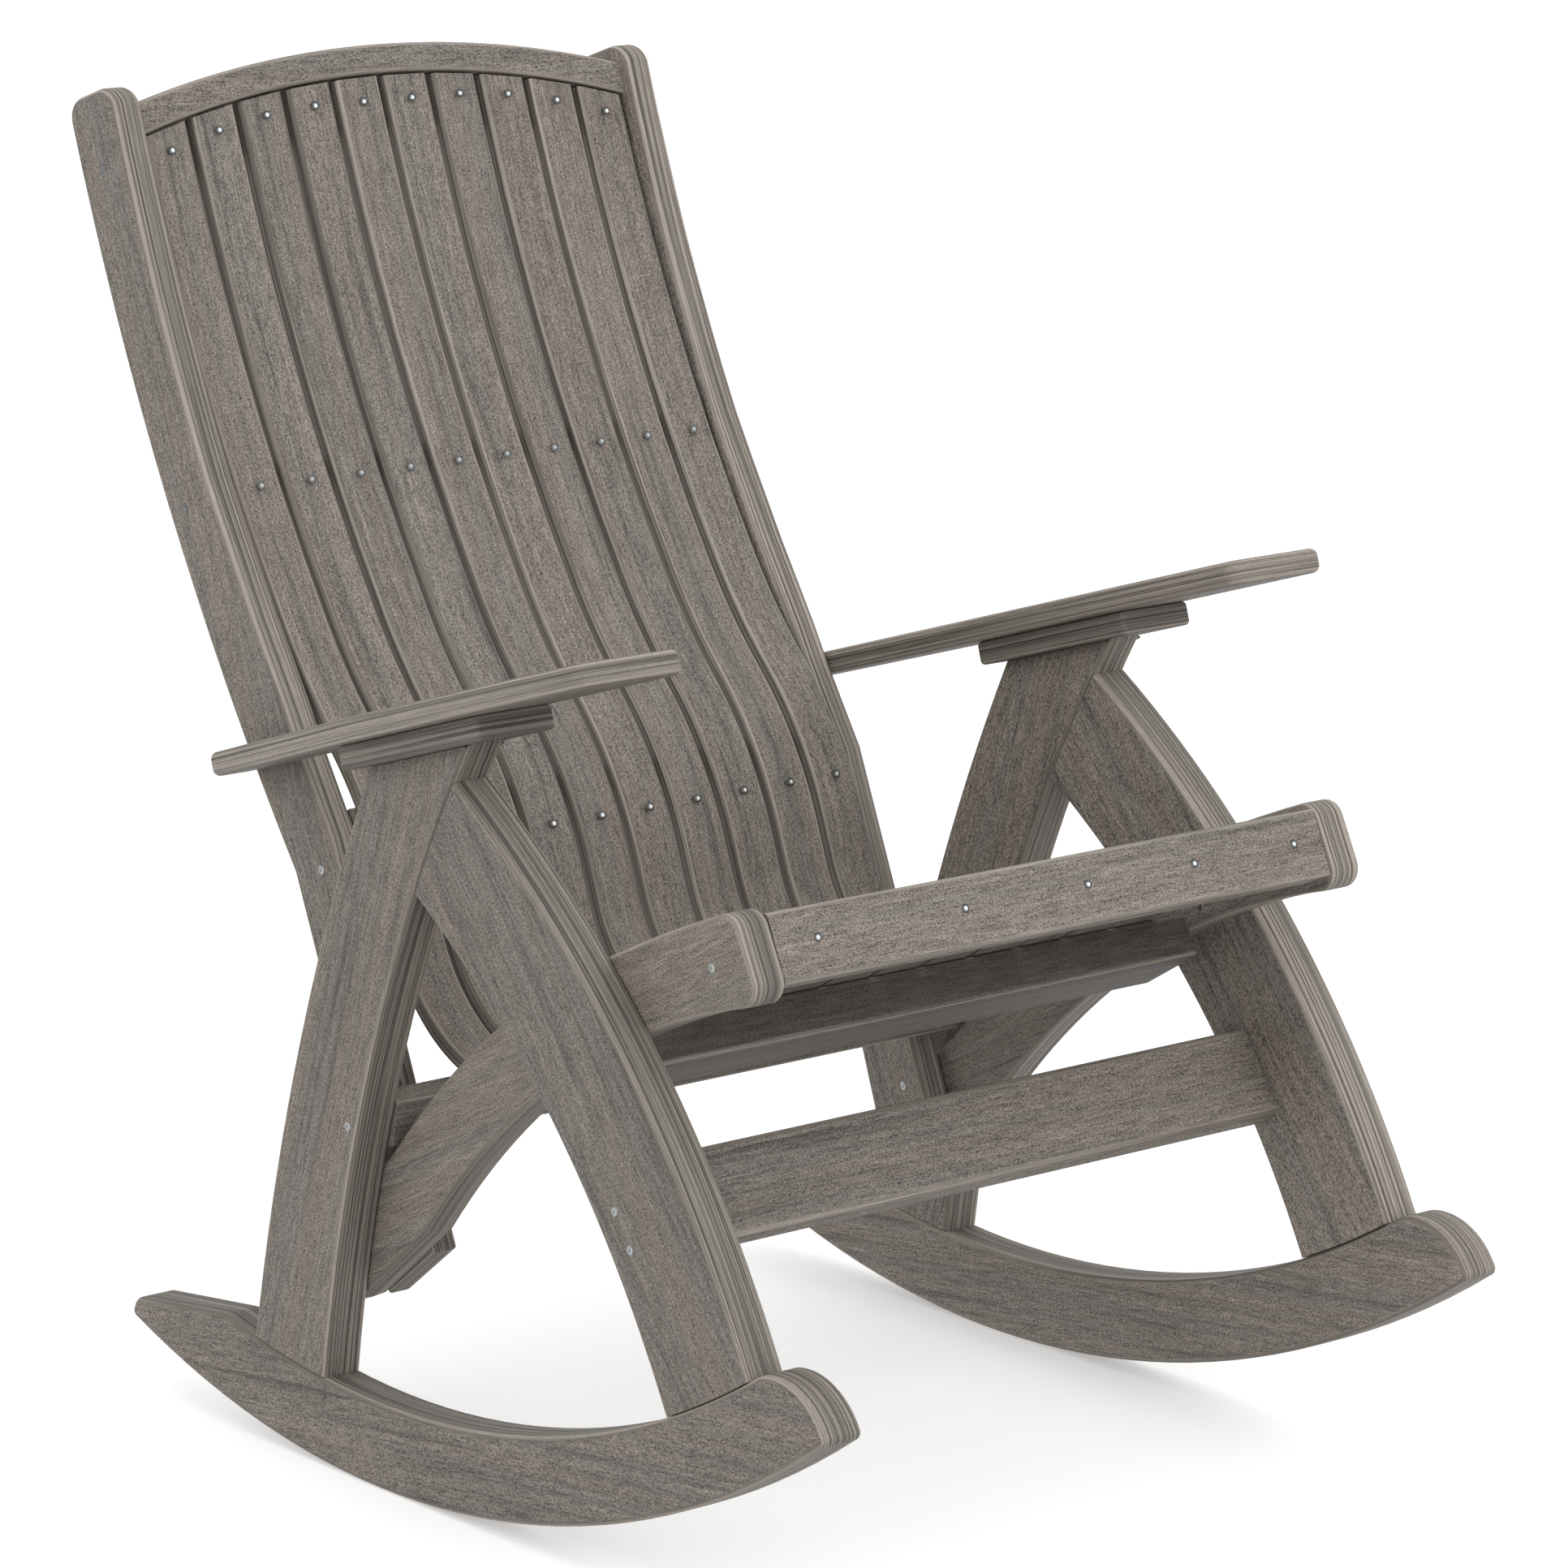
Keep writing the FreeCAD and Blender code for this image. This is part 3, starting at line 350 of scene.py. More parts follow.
def make_board_finish():
    """Weathered boards: speckled grain on the broad faces and long layered lines on the edges; the
    rounded arrises are painted lighter, partly as wear and partly as painted highlight, and the tone
    holds painted light or shade on some boards.
    """
    finish = Finish("weathered_board")
    place = finish.stored("grain", 1)
    edge = finish.stored("edge", 2)
    arris = finish.stored("arris", 2)
    tone = finish.stored("tone", 2)
    flecks = finish.pattern(place, *FLECKS)
    fibres = finish.pattern(place, *FIBRES)
    streaks = finish.pattern(place, *STREAKS)
    clouds = finish.pattern(place, *CLOUDS)
    face = finish.mix(finish.between(clouds, *CLOUD_SPAN), BROWN_EARTH, GREY_EARTH)
    dark = finish.between(streaks, *DARK_SPAN) * finish.between(clouds, *DARK_CLOUD_SPAN)
    face = finish.mix(dark * DARK_SHARE, face, DARK_STREAK)
    pale = finish.between(1 - streaks, *PALE_SPAN)
    face = finish.mix(pale * PALE_SHARE, face, PALE_STREAK)
    speckle = 1 + (flecks - MEAN) * FLECK_DEPTH + (fibres - MEAN) * FIBRE_DEPTH
    face = finish.mix(1.0, face, finish.grey(speckle), "MULTIPLY")
    layers = finish.pattern(place, *LAYERS)
    threads = finish.pattern(place, *THREADS)
    side = finish.mix(finish.between(layers, *LAYER_SPAN), PALE_LAYER, DARK_LAYER)
    side = finish.mix(finish.between(threads, *THREAD_SPAN), side, DARK_STREAK)
    pale_lines = finish.between(1 - threads, *PALE_LINE_SPAN)
    side = finish.mix(pale_lines * PALE_LINE_SHARE, side, WEAR_AND_HIGHLIGHT_COLOUR)
    # Rounded arrises painted lighter: partly wear, partly painted highlight
    paling_and_highlight = arris * (ARRIS_PALING_AND_HIGHLIGHT + pale_lines * LINE_PALING_AND_HIGHLIGHT)
    side = finish.mix(paling_and_highlight, side, WEAR_AND_HIGHLIGHT_COLOUR)
    grained = finish.grey(1 + (fibres - MEAN) * EDGE_FIBRE_DEPTH)
    side = finish.mix(1.0, side, grained, "MULTIPLY")
    colour = finish.mix(edge, face, side)
    # Painted highlight: the arrises are lifted out of the board's tone, which holds painted shade on
    # some boards
    tone_and_arris_highlight = tone + (1 - tone) * arris * ARRIS_HIGHLIGHT_LIFT
    colour = finish.mix(1.0, colour, finish.grey(tone_and_arris_highlight), "MULTIPLY")
    relief = (flecks * (1 - edge) * FLECK_RELIEF + threads * edge * THREAD_RELIEF
              + fibres * FIBRE_RELIEF)
    bump = finish.add("ShaderNodeBump", {}, Strength=RELIEF_STRENGTH, Distance=RELIEF_HEIGHT,
                      Height=relief)
    finish.set(Base_Color=colour, Roughness=BOARD_ROUGHNESS + flecks * FLECK_ROUGHNESS,
               Normal=bump)
    finish.shader.inputs["Specular IOR Level"].default_value = BOARD_SPECULAR
    return finish.material


def make_screw_finish():
    """Stainless steel with fine marks: each screw carries the shade of its ring and socket, a painted
    reflection and highlight set by the way it faces.
    """
    finish = Finish("stainless_screw")
    place = finish.add("ShaderNodeTexCoord", {}, output=3)
    marks = finish.pattern(place, *SCREW_MARKS)
    # Ring and socket brightness of each screw: painted reflection and highlight
    shade = finish.mix(finish.stored("socket", 2), finish.grey(finish.stored("ring", 2)),
                       finish.grey(finish.stored("centre", 2)))
    marked = finish.grey(STEEL_TONE[0] + marks * STEEL_TONE[1])
    colour = finish.mix(1.0, shade, marked, "MULTIPLY")
    colour = finish.mix(1.0, colour, STEEL, "MULTIPLY")
    finish.set(Base_Color=colour, Metallic=1.0,
               Roughness=STEEL_ROUGHNESS[0] + marks * STEEL_ROUGHNESS[1])
    return finish.material


def make_floor_finish():
    """Plain pale floor."""
    finish = Finish("pale_floor")
    place = finish.add("ShaderNodeTexCoord", {}, output=3)
    mottle = finish.pattern(place, *FLOOR_MOTTLE)
    finish.set(Base_Color=finish.grey(FLOOR_TONE + mottle * FLOOR_MOTTLE_DEPTH),
               Roughness=FLOOR_ROUGHNESS)
    finish.shader.inputs["Emission Color"].default_value = WHITE
    finish.shader.inputs["Emission Strength"].default_value = FLOOR_GLOW
    return finish.material


BOARD_FINISH = make_board_finish()


def turned(degrees):
    """Unit vector in the side view, in degrees from +Y towards +Z."""
    angle = math.radians(degrees)
    return Vector((0, math.cos(angle), math.sin(angle)))


def plane_of(normal):
    """Two unit vectors that span the plane square to a normal."""
    first = Vector((0, 1, 0)) if abs(normal.x) > 0.5 else ACROSS
    return first, normal.cross(first)


def rim_of(node, normal):
    """Merged outline of a flat board's edge, as points in order, and the span of its faces."""
    mesh = bmesh.new()
    mesh.from_mesh(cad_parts[node].data)
    bmesh.ops.remove_doubles(mesh, verts=mesh.verts, dist=MERGE_REACH)
    mesh.normal_update()
    heights = [vertex.co.dot(normal) for vertex in mesh.verts]
    low, high = min(heights), max(heights)
    band = {face for face in mesh.faces if abs(face.normal.dot(normal)) < SQUARE_ENOUGH}
    links = {}
    for edge in mesh.edges:
        middle = (edge.verts[0].co + edge.verts[1].co) / 2
        if middle.dot(normal) < (low + high) / 2:
            continue
        if sum(face in band for face in edge.link_faces) == 1:
            for one, other in (edge.verts, reversed(edge.verts)):
                links.setdefault(one, []).append(other)
    start = next(iter(links))
    walk = [start, links[start][0]]
    while True:
        onward = [vertex for vertex in links[walk[-1]] if vertex is not walk[-2]]
        if onward[0] is start:
            break
        walk.append(onward[0])
    points = [vertex.co.copy() for vertex in walk]
    mesh.free()
    return points, low, high


def without_slips(flat, sharp):
    """The outline less the points that only mark where a bevel began beside a corner."""
    turns = []
    for index, point in enumerate(flat):
        before = point - flat[index - 1]
        after = flat[(index + 1) % len(flat)] - point
        turns.append(abs(math.degrees(before.angle_signed(after))))
    kept = []
    for index, point in enumerate(flat):
        slip = False
        for other in (index - 1, (index + 1) % len(flat)):
            near = (flat[other] - point).length < SLIP_REACH
            slip = slip or (near and turns[index] < SLIP_TURN and turns[other] > CORNER_TURN)
        if not slip:
            kept.append(index)
    return [flat[i] for i in kept], [sharp[i] for i in kept]


def outline_of(node, normal):
    """Outline in the plane, counter-clockwise, with the sides that stay keen, and the faces' span."""
    points, low, high = rim_of(node, normal)
    first, second = plane_of(normal)
    flat = [Vector((point.dot(first), point.dot(second))) for point in points]
    sharp = [point.dot(normal) > high - SAME_PLACE for point in points]
    kept = [i for i in range(len(flat)) if (flat[i] - flat[i - 1]).length > SAME_PLACE]
    flat = [flat[i] for i in kept]
    sharp = [sharp[i] for i in kept]
    flat, sharp = without_slips(flat, sharp)
    area = sum(flat[i - 1].cross(flat[i]) for i in range(len(flat)))
    if area < 0:
        flat.reverse()
        sharp.reverse()
    keen = [sharp[i] or sharp[(i + 1) % len(flat)] for i in range(len(flat))]
    return flat, keen, low, high


def inset(outline, depths):
    """The outline with each side moved inwards by its own depth."""
    count = len(outline)
    sides = []
    for index, point in enumerate(outline):
        run = (outline[(index + 1) % count] - point).normalized()
        sides.append(Vector((-run.y, run.x)))
    moved = []
    for index, point in enumerate(outline):
        before, after = sides[index - 1], sides[index]
        first, second = depths[index - 1], depths[index]
        turn = before.cross(after)
        if abs(turn) < STRAIGHT_ENOUGH:
            shift = (before * first + after * second) / 2
        else:
            shift = Vector((first * after.y - second * before.y,
                            second * before.x - first * after.x)) / turn
        moved.append(point + shift)
    return moved


def swollen(outline):
    """A post's outline with its front edge swelling forward of the even bend."""
    moved = []
    for index, point in enumerate(outline):
        run = outline[(index + 1) % len(outline)] - outline[index - 1]
        ahead = max(0, -run.normalized().y)
        swell = 0
        for (low, first), (high, last) in zip(POST_SWELL, POST_SWELL[1:]):
            if low < point.y <= high:
                share = (point.y - low) / (high - low)
                swell = first + (last - first) * share * share * (3 - 2 * share)
        moved.append(point - Vector((swell * ahead, 0)))
    return moved


def belts(levels, count):
    """Faces between each ring of points and the next, as numbers of the points."""
    faces = []
    for level in range(levels - 1):
        for index in range(count):
            a = level * count + index
            b = level * count + (index + 1) % count
            faces.append([a, b, b + count, a + count])
    return faces


def loft(name, rings, facing, grain, tone=1.0):
    """Closed skin over rings of points, with the place in the board stored on each point.

    The facing of each point is 1 where it looks out of a broad face and 0 on the edge.
    """
    count = len(rings[0])
    points = [point for ring in rings for point in ring]
    faces = [list(range(count)), list(range(len(points) - count, len(points)))]
    faces += belts(len(rings), count)
    mesh = bpy.data.meshes.new(name)
    mesh.from_pydata(points, [], faces)
    solid = bmesh.new()
    solid.from_mesh(mesh)
    bmesh.ops.recalc_face_normals(solid, faces=solid.faces)
    solid.to_mesh(mesh)
    solid.free()
    places = mesh.attributes.new("grain", "FLOAT_VECTOR", "POINT")
    places.data.foreach_set("vector", [c for point in points for c in grain(point)])
    looks = [look for ring in facing for look in ring]
    # The arris peaks halfway round each rounded edge and marks where the edge gets wear and painted
    # highlight
    numbers = {"edge": [min(1, EDGE_SPREAD * (1 - look)) for look in looks],
               "arris": [2 * look * math.sqrt(max(0, 1 - look ** 2)) for look in looks],
               "tone": [tone] * len(points)}
    for label, entries in numbers.items():
        mesh.attributes.new(label, "FLOAT", "POINT").data.foreach_set("value", entries)
    mesh.shade_smooth()
    mesh.set_sharp_from_angle(angle=SHARP_ANGLE)
    mesh.materials.append(BOARD_FINISH)
    piece = bpy.data.objects.new(mesh.name, mesh)
    bpy.context.scene.collection.objects.link(piece)
    return piece


def settle(piece):
    """Even out the shading of the flat faces, then leave a plain mesh."""
    evener = piece.modifiers.new("even_normals", "WEIGHTED_NORMAL")
    evener.keep_sharp = True
    graph = bpy.context.evaluated_depsgraph_get()
    baked = bpy.data.meshes.new_from_object(piece.evaluated_get(graph))
    piece.modifiers.clear()
    piece.data = baked
    baked.name = piece.name


def hand_in(piece, *nodes):
    """The finished piece stands for its CAD nodes and moves with the chair."""
    settle(piece)
    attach(piece, "root")
    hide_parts(*nodes)


def grain_frame(along, through, seed):
    """Place in a board: along its grain, across it and through it, shifted for each board."""
    across = through.cross(along)
    shift = Vector([seed * part for part in GRAIN_SHIFT])

    def grain(point):
        return Vector((point.dot(along), point.dot(across), point.dot(through))) + shift
    return grain


def make_board(node, normal, along, rounding, seed, all_round=False, shade=1.0):
    """Flat board with a node's outline and truly rounded long edges."""
    outline, keen, low, high = outline_of(node, normal)
    if node.endswith("back_post"):
        outline = swollen(outline)
    first, second = plane_of(normal)
    radii = [KEEN_ROUND if sharp and not all_round else rounding for sharp in keen]
    steps = [math.pi / 2 * step / ROUND_STEPS for step in range(ROUND_STEPS + 1)]
    rings = []
    facing = []
    for face, side, angles in ((low, 1, steps[::-1]), (high, -1, steps)):
        for angle in angles:
            ring = inset(outline, [radius * (1 - math.cos(angle)) for radius in radii])
            height = face + side * rounding * (1 - math.sin(angle))
            rings.append([first * x + second * y + normal * height for x, y in ring])
            facing.append([math.sin(angle)] * len(ring))
    # The tone is the board's shade, which is painted light or shade on some boards, times a random
    # tone
    tone = shade * random.uniform(*TONE_RANGE)
    piece = loft(f"{node}_board", rings, facing, grain_frame(along, normal, seed), tone)
    hand_in(piece, node)


def make_side_boards():
    """Runners, legs, posts and seat sides, whose faces look across the chair."""
    for number, (board, (turn, rounding)) in enumerate(SIDE_BOARDS.items()):
        for hand, side in enumerate(("left", "right")):
            # Each side's boards carry its painted light in their tone
            make_board(f"{side}_{board}", ACROSS, turned(turn), rounding, 2 * number + hand,
                       shade=SIDE_PAINTED_LIGHT[side])


def make_arms():
    """Arms and their cleats, laid to the arms' slope."""
    normal = turned(90 - ARM_SLOPE)
    along = turned(-ARM_SLOPE)
    for hand, side in enumerate(("left", "right")):
        make_board(f"{side}_arm", normal, along, ARM_ROUND, ARM_SEED + hand, True)
        # The cleats are painted darker as painted shade under the arms
        make_board(f"{side}_arm_cleat", normal, along, CLEAT_ROUND, CLEAT_SEED + hand, True,
                   CLEAT_PAINTED_SHADE)


def rounded(corners, radii):
    """Points and outward normals of a section whose corners are rounded."""
    points = []
    normals = []
    count = len(corners)
    for index, corner in enumerate(corners):
        arriving = (corner - corners[index - 1]).normalized()
        leaving = (corners[(index + 1) % count] - corner).normalized()
        first = Vector((arriving.y, -arriving.x))
        last = Vector((leaving.y, -leaving.x))
        turn = math.atan2(first.cross(last), first.dot(last))
        sense = math.copysign(1, turn)
        centre = corner - (first + last) * (sense * radii[index] / (1 + first.dot(last)))
        start = math.atan2(first.y, first.x)
        for step in range(ROUND_STEPS + 1):
            angle = start + turn * step / ROUND_STEPS
            normal = Vector((math.cos(angle), math.sin(angle)))
            points.append(centre + normal * (sense * radii[index]))
            normals.append(normal)
    return points, normals


def true_corners(outline, shortest):
    """Corners of a section once its short bevel sides are taken out."""
    count = len(outline)
    sides = [(outline[i], outline[(i + 1) % count] - outline[i]) for i in range(count)]
    sides = [side for side in sides if side[1].length > shortest]
    corners = []
    for index, (start, run) in enumerate(sides):
        before, previous = sides[index - 1]
        share = (start - before).cross(run) / previous.cross(run)
        corners.append(before + previous * share)
    return corners


def make_bar(node, rounding, seed, shade):
    """Straight bar across the chair, with its node's section and rounded corners."""
    outline, _, low, high = outline_of(node, ACROSS)
    corners = true_corners(outline, LONGEST_BEVEL)
    section, normals = rounded(corners, [rounding] * len(corners))
    sides = [corners[1] - corners[0], corners[2] - corners[1]]
    longest = max(sides, key=lambda side: side.length).normalized()
    broad = Vector((longest.y, -longest.x))
    rings = [[Vector((x, point.x, point.y)) for point in section] for x in (low, high)]
    facing = [[max(abs(normal.dot(broad)), abs(normal.cross(broad))) for normal in normals]] * 2
    through = Vector((0, broad.x, broad.y))
    # The bar's shade goes into its tone: painted shadow for the front seat rail
    tone = shade * random.uniform(*TONE_RANGE)
    piece = loft(f"{node}_bar", rings, facing, grain_frame(ACROSS, through, seed), tone)
    hand_in(piece, node)


def make_bars():
    """Rails behind and under the slats, the front board and the stretchers."""
    for number, (node, (rounding, shade)) in enumerate(BARS.items()):
        make_bar(node, rounding, BAR_SEED + number, shade)


def arch(rise, radius, x):
    """Height of an arch over the slats' top point, at a distance from the middle."""
    return rise - radius + math.sqrt(radius ** 2 - x ** 2)


def make_crest():
    """Arched crest rail with the rebate that takes the slats' ends."""
    up = turned(90 - BACK_LEAN)
    ahead = turned(180 - BACK_LEAN)
    rings = []
    facing = []
    radii = [CREST_ROUND, CREST_LIP_ROUND, KEEN_ROUND, KEEN_ROUND, CREST_ROUND, CREST_ROUND]
    for station in range(CREST_STATIONS + 1):
        x = CREST_HALF * (2 * station / CREST_STATIONS - 1)
        top = arch(CREST_RISE, CREST_RADIUS, x)
        low = arch(CREST_RISE - CREST_DEPTH, CREST_RADIUS, x)
        lip = arch(LIP_RISE, LIP_RADIUS, x)
        front = CREST_LIP
        back = CREST_LIP - CREST_THICK
        corners = [Vector(pair) for pair in ((front, top), (front, lip), (-SLAT_THICK, lip),
                                             (-SLAT_THICK, low), (back, low), (back, top))]
        section, normals = rounded(corners[::-1], radii[::-1])
        rings.append([SLAT_TOP + ACROSS * x + ahead * point.x + up * point.y for point in section])
        facing.append([abs(normal.x) for normal in normals])
    piece = loft("crest_board", rings, facing, grain_frame(ACROSS, ahead, CREST_SEED))
    hand_in(piece, "crest_rail")


def down_along(lean):
    """Unit vector down a line that leans back by an angle."""
    return Vector((0, -math.sin(lean), -math.cos(lean)))


def behind(lean):
    """Unit vector square to that line, to its back."""
    return Vector((0, math.cos(lean), -math.sin(lean)))


def slat_line():
    """Points along the slats' middle thickness, from the crest down and out to the front."""
    lean = math.radians(BACK_LEAN)
    face = SLAT_TOP - down_along(lean) * (LIP_RISE - SLAT_END_GAP)
    points = [face + behind(lean) * SLAT_THICK / 2, SLAT_TOP + behind(lean) * SLAT_THICK / 2]
    face = SLAT_TOP.copy()
    for size, turn in SLAT_LINE:
        if turn is None:
            face += down_along(lean) * size
            points.append(face + behind(lean) * SLAT_THICK / 2)
            continue
        sense = math.copysign(1, turn)
        centre = face - behind(lean) * sense * size
        steps = max(FEWEST_STEPS, round(abs(turn) / LINE_STEP))
        for step in range(1, steps + 1):
            angle = lean + math.radians(turn) * step / steps
            points.append(centre + behind(angle) * (sense * size + SLAT_THICK / 2))
        lean += math.radians(turn)
        face = centre + behind(lean) * sense * size
    return points


class Grower(Graph):
    """A Geometry Nodes tree with named inputs, run once on an object."""

    def __init__(self, name, inputs):
        super().__init__(bpy.data.node_groups.new(name, "GeometryNodeTree"))
        face = self.tree.interface
        face.new_socket("Geometry", in_out="INPUT", socket_type="NodeSocketGeometry")
        face.new_socket("Geometry", in_out="OUTPUT", socket_type="NodeSocketGeometry")
        self.values = {}
        for label, (kind, entry) in inputs.items():
            socket = face.new_socket(label, in_out="INPUT", socket_type=f"NodeSocket{kind}")
            self.values[socket.identifier] = entry
        self.source = self.tree.nodes.new("NodeGroupInput")

    def given(self, label):
        return Signal(self, self.source.outputs[label])

    def end(self, geometry, finish):
        """Close the tree: real copies of what repeats, all with one finish."""
        real = self.add("GeometryNodeRealizeInstances", {}, (geometry,))
        painted = self.add("GeometryNodeSetMaterial", {}, Geometry=real, Material=finish)
        output = self.tree.nodes.new("NodeGroupOutput")
        self.tree.links.new(painted.socket, output.inputs[0])

    def run(self, piece):
        """Replace the object by what the tree makes of it, as a plain mesh object."""
        modifier = piece.modifiers.new("grow", "NODES")
        modifier.node_group = self.tree
        for identifier, entry in self.values.items():
            modifier[identifier] = entry
        bpy.context.view_layer.update()
        graph = bpy.context.evaluated_depsgraph_get()
        mesh = bpy.data.meshes.new_from_object(piece.evaluated_get(graph))
        name = piece.name
        bpy.data.objects.remove(piece)
        grown = bpy.data.objects.new(name, mesh)
        bpy.context.scene.collection.objects.link(grown)
        return grown


def make_slat_tree():
    """Tree that sweeps one slat along its line, repeats it and arches the upper ends."""
    tree = Grower("slat_sweep", {
        "Count": ("Int", SLAT_COUNT), "Pitch": ("Float", SLAT_PITCH), "Width": ("Float", SLAT_WIDTH),
        "Thickness": ("Float", SLAT_THICK), "Round": ("Float", SLAT_ROUND),
        "Back Round": ("Float", SLAT_BACK_ROUND), "Arch": ("Float", LIP_RADIUS),
        "Finish": ("Material", BOARD_FINISH)})
    width, rounding = tree.given("Width"), tree.given("Round")
    run = tree.add("GeometryNodeSplineParameter", {}, output=1)
    path = tree.tree.nodes.new("GeometryNodeCaptureAttribute")
    path.capture_items.new("FLOAT", "Run")
    tree.plug(path.inputs[0], tree.given("Geometry"))
    tree.plug(path.inputs[1], run)
    profile = tree.add("GeometryNodeCurvePrimitiveQuadrilateral", {}, Width=width,
                       Height=tree.given("Thickness"))
    corner = tree.add("ShaderNodeSeparateXYZ", {}, (tree.add("GeometryNodeInputPosition"),))
    back_round = tree.given("Back Round")
    radius = (corner.up() < 0.0) * (rounding - back_round) + back_round
    profile = tree.add("GeometryNodeFilletCurve", {"mode": "POLY"}, Curve=profile,
                       Count=ROUND_STEPS, Radius=radius)
    section = tree.tree.nodes.new("GeometryNodeCaptureAttribute")
    section.capture_items.new("VECTOR", "Section")
    tree.plug(section.inputs[0], profile)
    tree.plug(section.inputs[1], tree.add("GeometryNodeInputPosition"))
    slat = tree.add("GeometryNodeCurveToMesh", {}, Curve=Signal(tree, path.outputs[0]),
                    Profile_Curve=Signal(tree, section.outputs[0]), Fill_Caps=True)
    count, pitch = tree.given("Count"), tree.given("Pitch")
    first = tree.add("ShaderNodeCombineXYZ", {}, ((1 - count) * pitch / 2,))
    offset = tree.add("ShaderNodeCombineXYZ", {}, (pitch,))
    row = tree.add("GeometryNodeMeshLine", {}, Count=count, Start_Location=first, Offset=offset)
    slats = tree.add("GeometryNodeInstanceOnPoints", {}, Points=row, Instance=slat)
    slats = tree.add("GeometryNodeRealizeInstances", {}, (slats,))
    spot = tree.add("ShaderNodeSeparateXYZ", {}, (tree.add("GeometryNodeInputPosition"),))
    here = Signal(tree, path.outputs[1])
    radius = tree.given("Arch")
    drop = (radius * radius - spot * spot).maths("SQRT") - radius
    lean = math.radians(BACK_LEAN)
    shift = tree.add("ShaderNodeCombineXYZ", {}, (0.0, drop * math.sin(lean), drop * math.cos(lean)))
    slats = tree.add("GeometryNodeSetPosition", {}, Geometry=slats,
                     Selection=here < SLAT_END_REACH, Offset=shift)
    number = (spot / pitch + count / 2).maths("FLOOR")
    side = tree.add("ShaderNodeSeparateXYZ", {}, (Signal(tree, section.outputs[1]),))
    depth = side.up()
    shifted = [axis + number * part for axis, part in zip((here, side, depth), SLAT_SHIFT)]
    place = tree.add("ShaderNodeCombineXYZ", {}, shifted)
    slats = tree.add("GeometryNodeStoreNamedAttribute", {"data_type": "FLOAT_VECTOR"},
                     Geometry=slats, Name="grain", Value=place)
    local_round = (depth < 0.0) * (rounding - back_round) + back_round
    beside = side.maths("ABSOLUTE") > width / 2 - local_round + SAME_PLACE
    on_front = depth < rounding - tree.given("Thickness") / 2
    slats = tree.add("GeometryNodeStoreNamedAttribute", {"data_type": "FLOAT"},
                     Geometry=slats, Name="edge", Value=beside)
    # The slats' rounded edges are painted lighter, partly wear and partly painted highlight, more on
    # their front edges
    slats = tree.add("GeometryNodeStoreNamedAttribute", {"data_type": "FLOAT"},
                     Geometry=slats, Name="arris",
                     Value=beside * (SLAT_ARRIS + on_front * SLAT_FRONT_HIGHLIGHT))
    tone = tree.add("FunctionNodeRandomValue", {"data_type": "FLOAT"}, output=1)
    random_node = tone.socket.node
    tree.plug(random_node.inputs[2], SLAT_TONES[0])
    tree.plug(random_node.inputs[3], SLAT_TONES[1])
    tree.plug(random_node.inputs["ID"], number)
    tree.plug(random_node.inputs["Seed"], SLAT_TONE_SEED)
    slats = tree.add("GeometryNodeStoreNamedAttribute", {"data_type": "FLOAT"},
                     Geometry=slats, Name="tone", Value=tone)
    tree.end(slats, tree.given("Finish"))
    return tree


def make_slats():
    """The slats of the back and seat, as one piece."""
    curve = bpy.data.curves.new("slats", "CURVE")
    curve.dimensions = "3D"
    spline = curve.splines.new("POLY")
    points = slat_line()
    spline.points.add(len(points) - 1)
    for place, point in zip(spline.points, points):
        place.co = (*point, 1)
    path = bpy.data.objects.new("slats", curve)
    bpy.context.scene.collection.objects.link(path)
    slats = make_slat_tree().run(path)
    slats.data.shade_smooth()
    slats.data.set_sharp_from_angle(angle=SHARP_ANGLE)
    hand_in(slats, *(f"slat_{number + 1}" for number in range(SLAT_COUNT)))


def screw_places():
    """Every screw head's place and the way it faces."""
    places = []
    for index in range(SLAT_COUNT):
        x = (index - (SLAT_COUNT - 1) / 2) * SLAT_PITCH / MM
        y, z = SLAT_ROW_TOP[min(index, SLAT_COUNT - 1 - index)]
        places.append(((x, y, z), turned(180 - BACK_LEAN), FRONT_PAINTED_REFLECTION))
        places.append(((x, *SLAT_ROW_MID), turned(180 - MID_ROW_LEAN), DULL_PAINTED_REFLECTION))
        places.append(((x, *SLAT_ROW_LOW), turned(180 - LOW_ROW_LEAN), FRONT_PAINTED_REFLECTION))
    for hand in (-1, 1):
        outward = ACROSS * hand
        for spot, reflection_shades in zip(POST_SPOTS, (FAINT_PAINTED_REFLECTION, FAINT_PAINTED_REFLECTION, OUTER_PAINTED_REFLECTION)):
            places.append(((hand * POST_FACES[1], *spot), outward, reflection_shades))
        places.append(((hand * POST_FACES[0], *POST_INNER_SPOT), -outward, OUTER_PAINTED_REFLECTION))
        places.append(((hand * SIDE_FACES[1], *SIDE_SPOT), outward, OUTER_PAINTED_REFLECTION))
        places.append(((hand * SIDE_FACES[0], *SIDE_INNER_SPOT), -outward, OUTER_PAINTED_REFLECTION))
        for spot in [REAR_LEG_SPOT, *FRONT_LEG_SPOTS]:
            places.append(((hand * LEG_OUTER, *spot), outward, OUTER_PAINTED_REFLECTION))
    for x in BOARD_X:
        places.append(((x, *BOARD_SPOT), turned(180 - BOARD_LEAN), FRONT_PAINTED_REFLECTION))
    return places


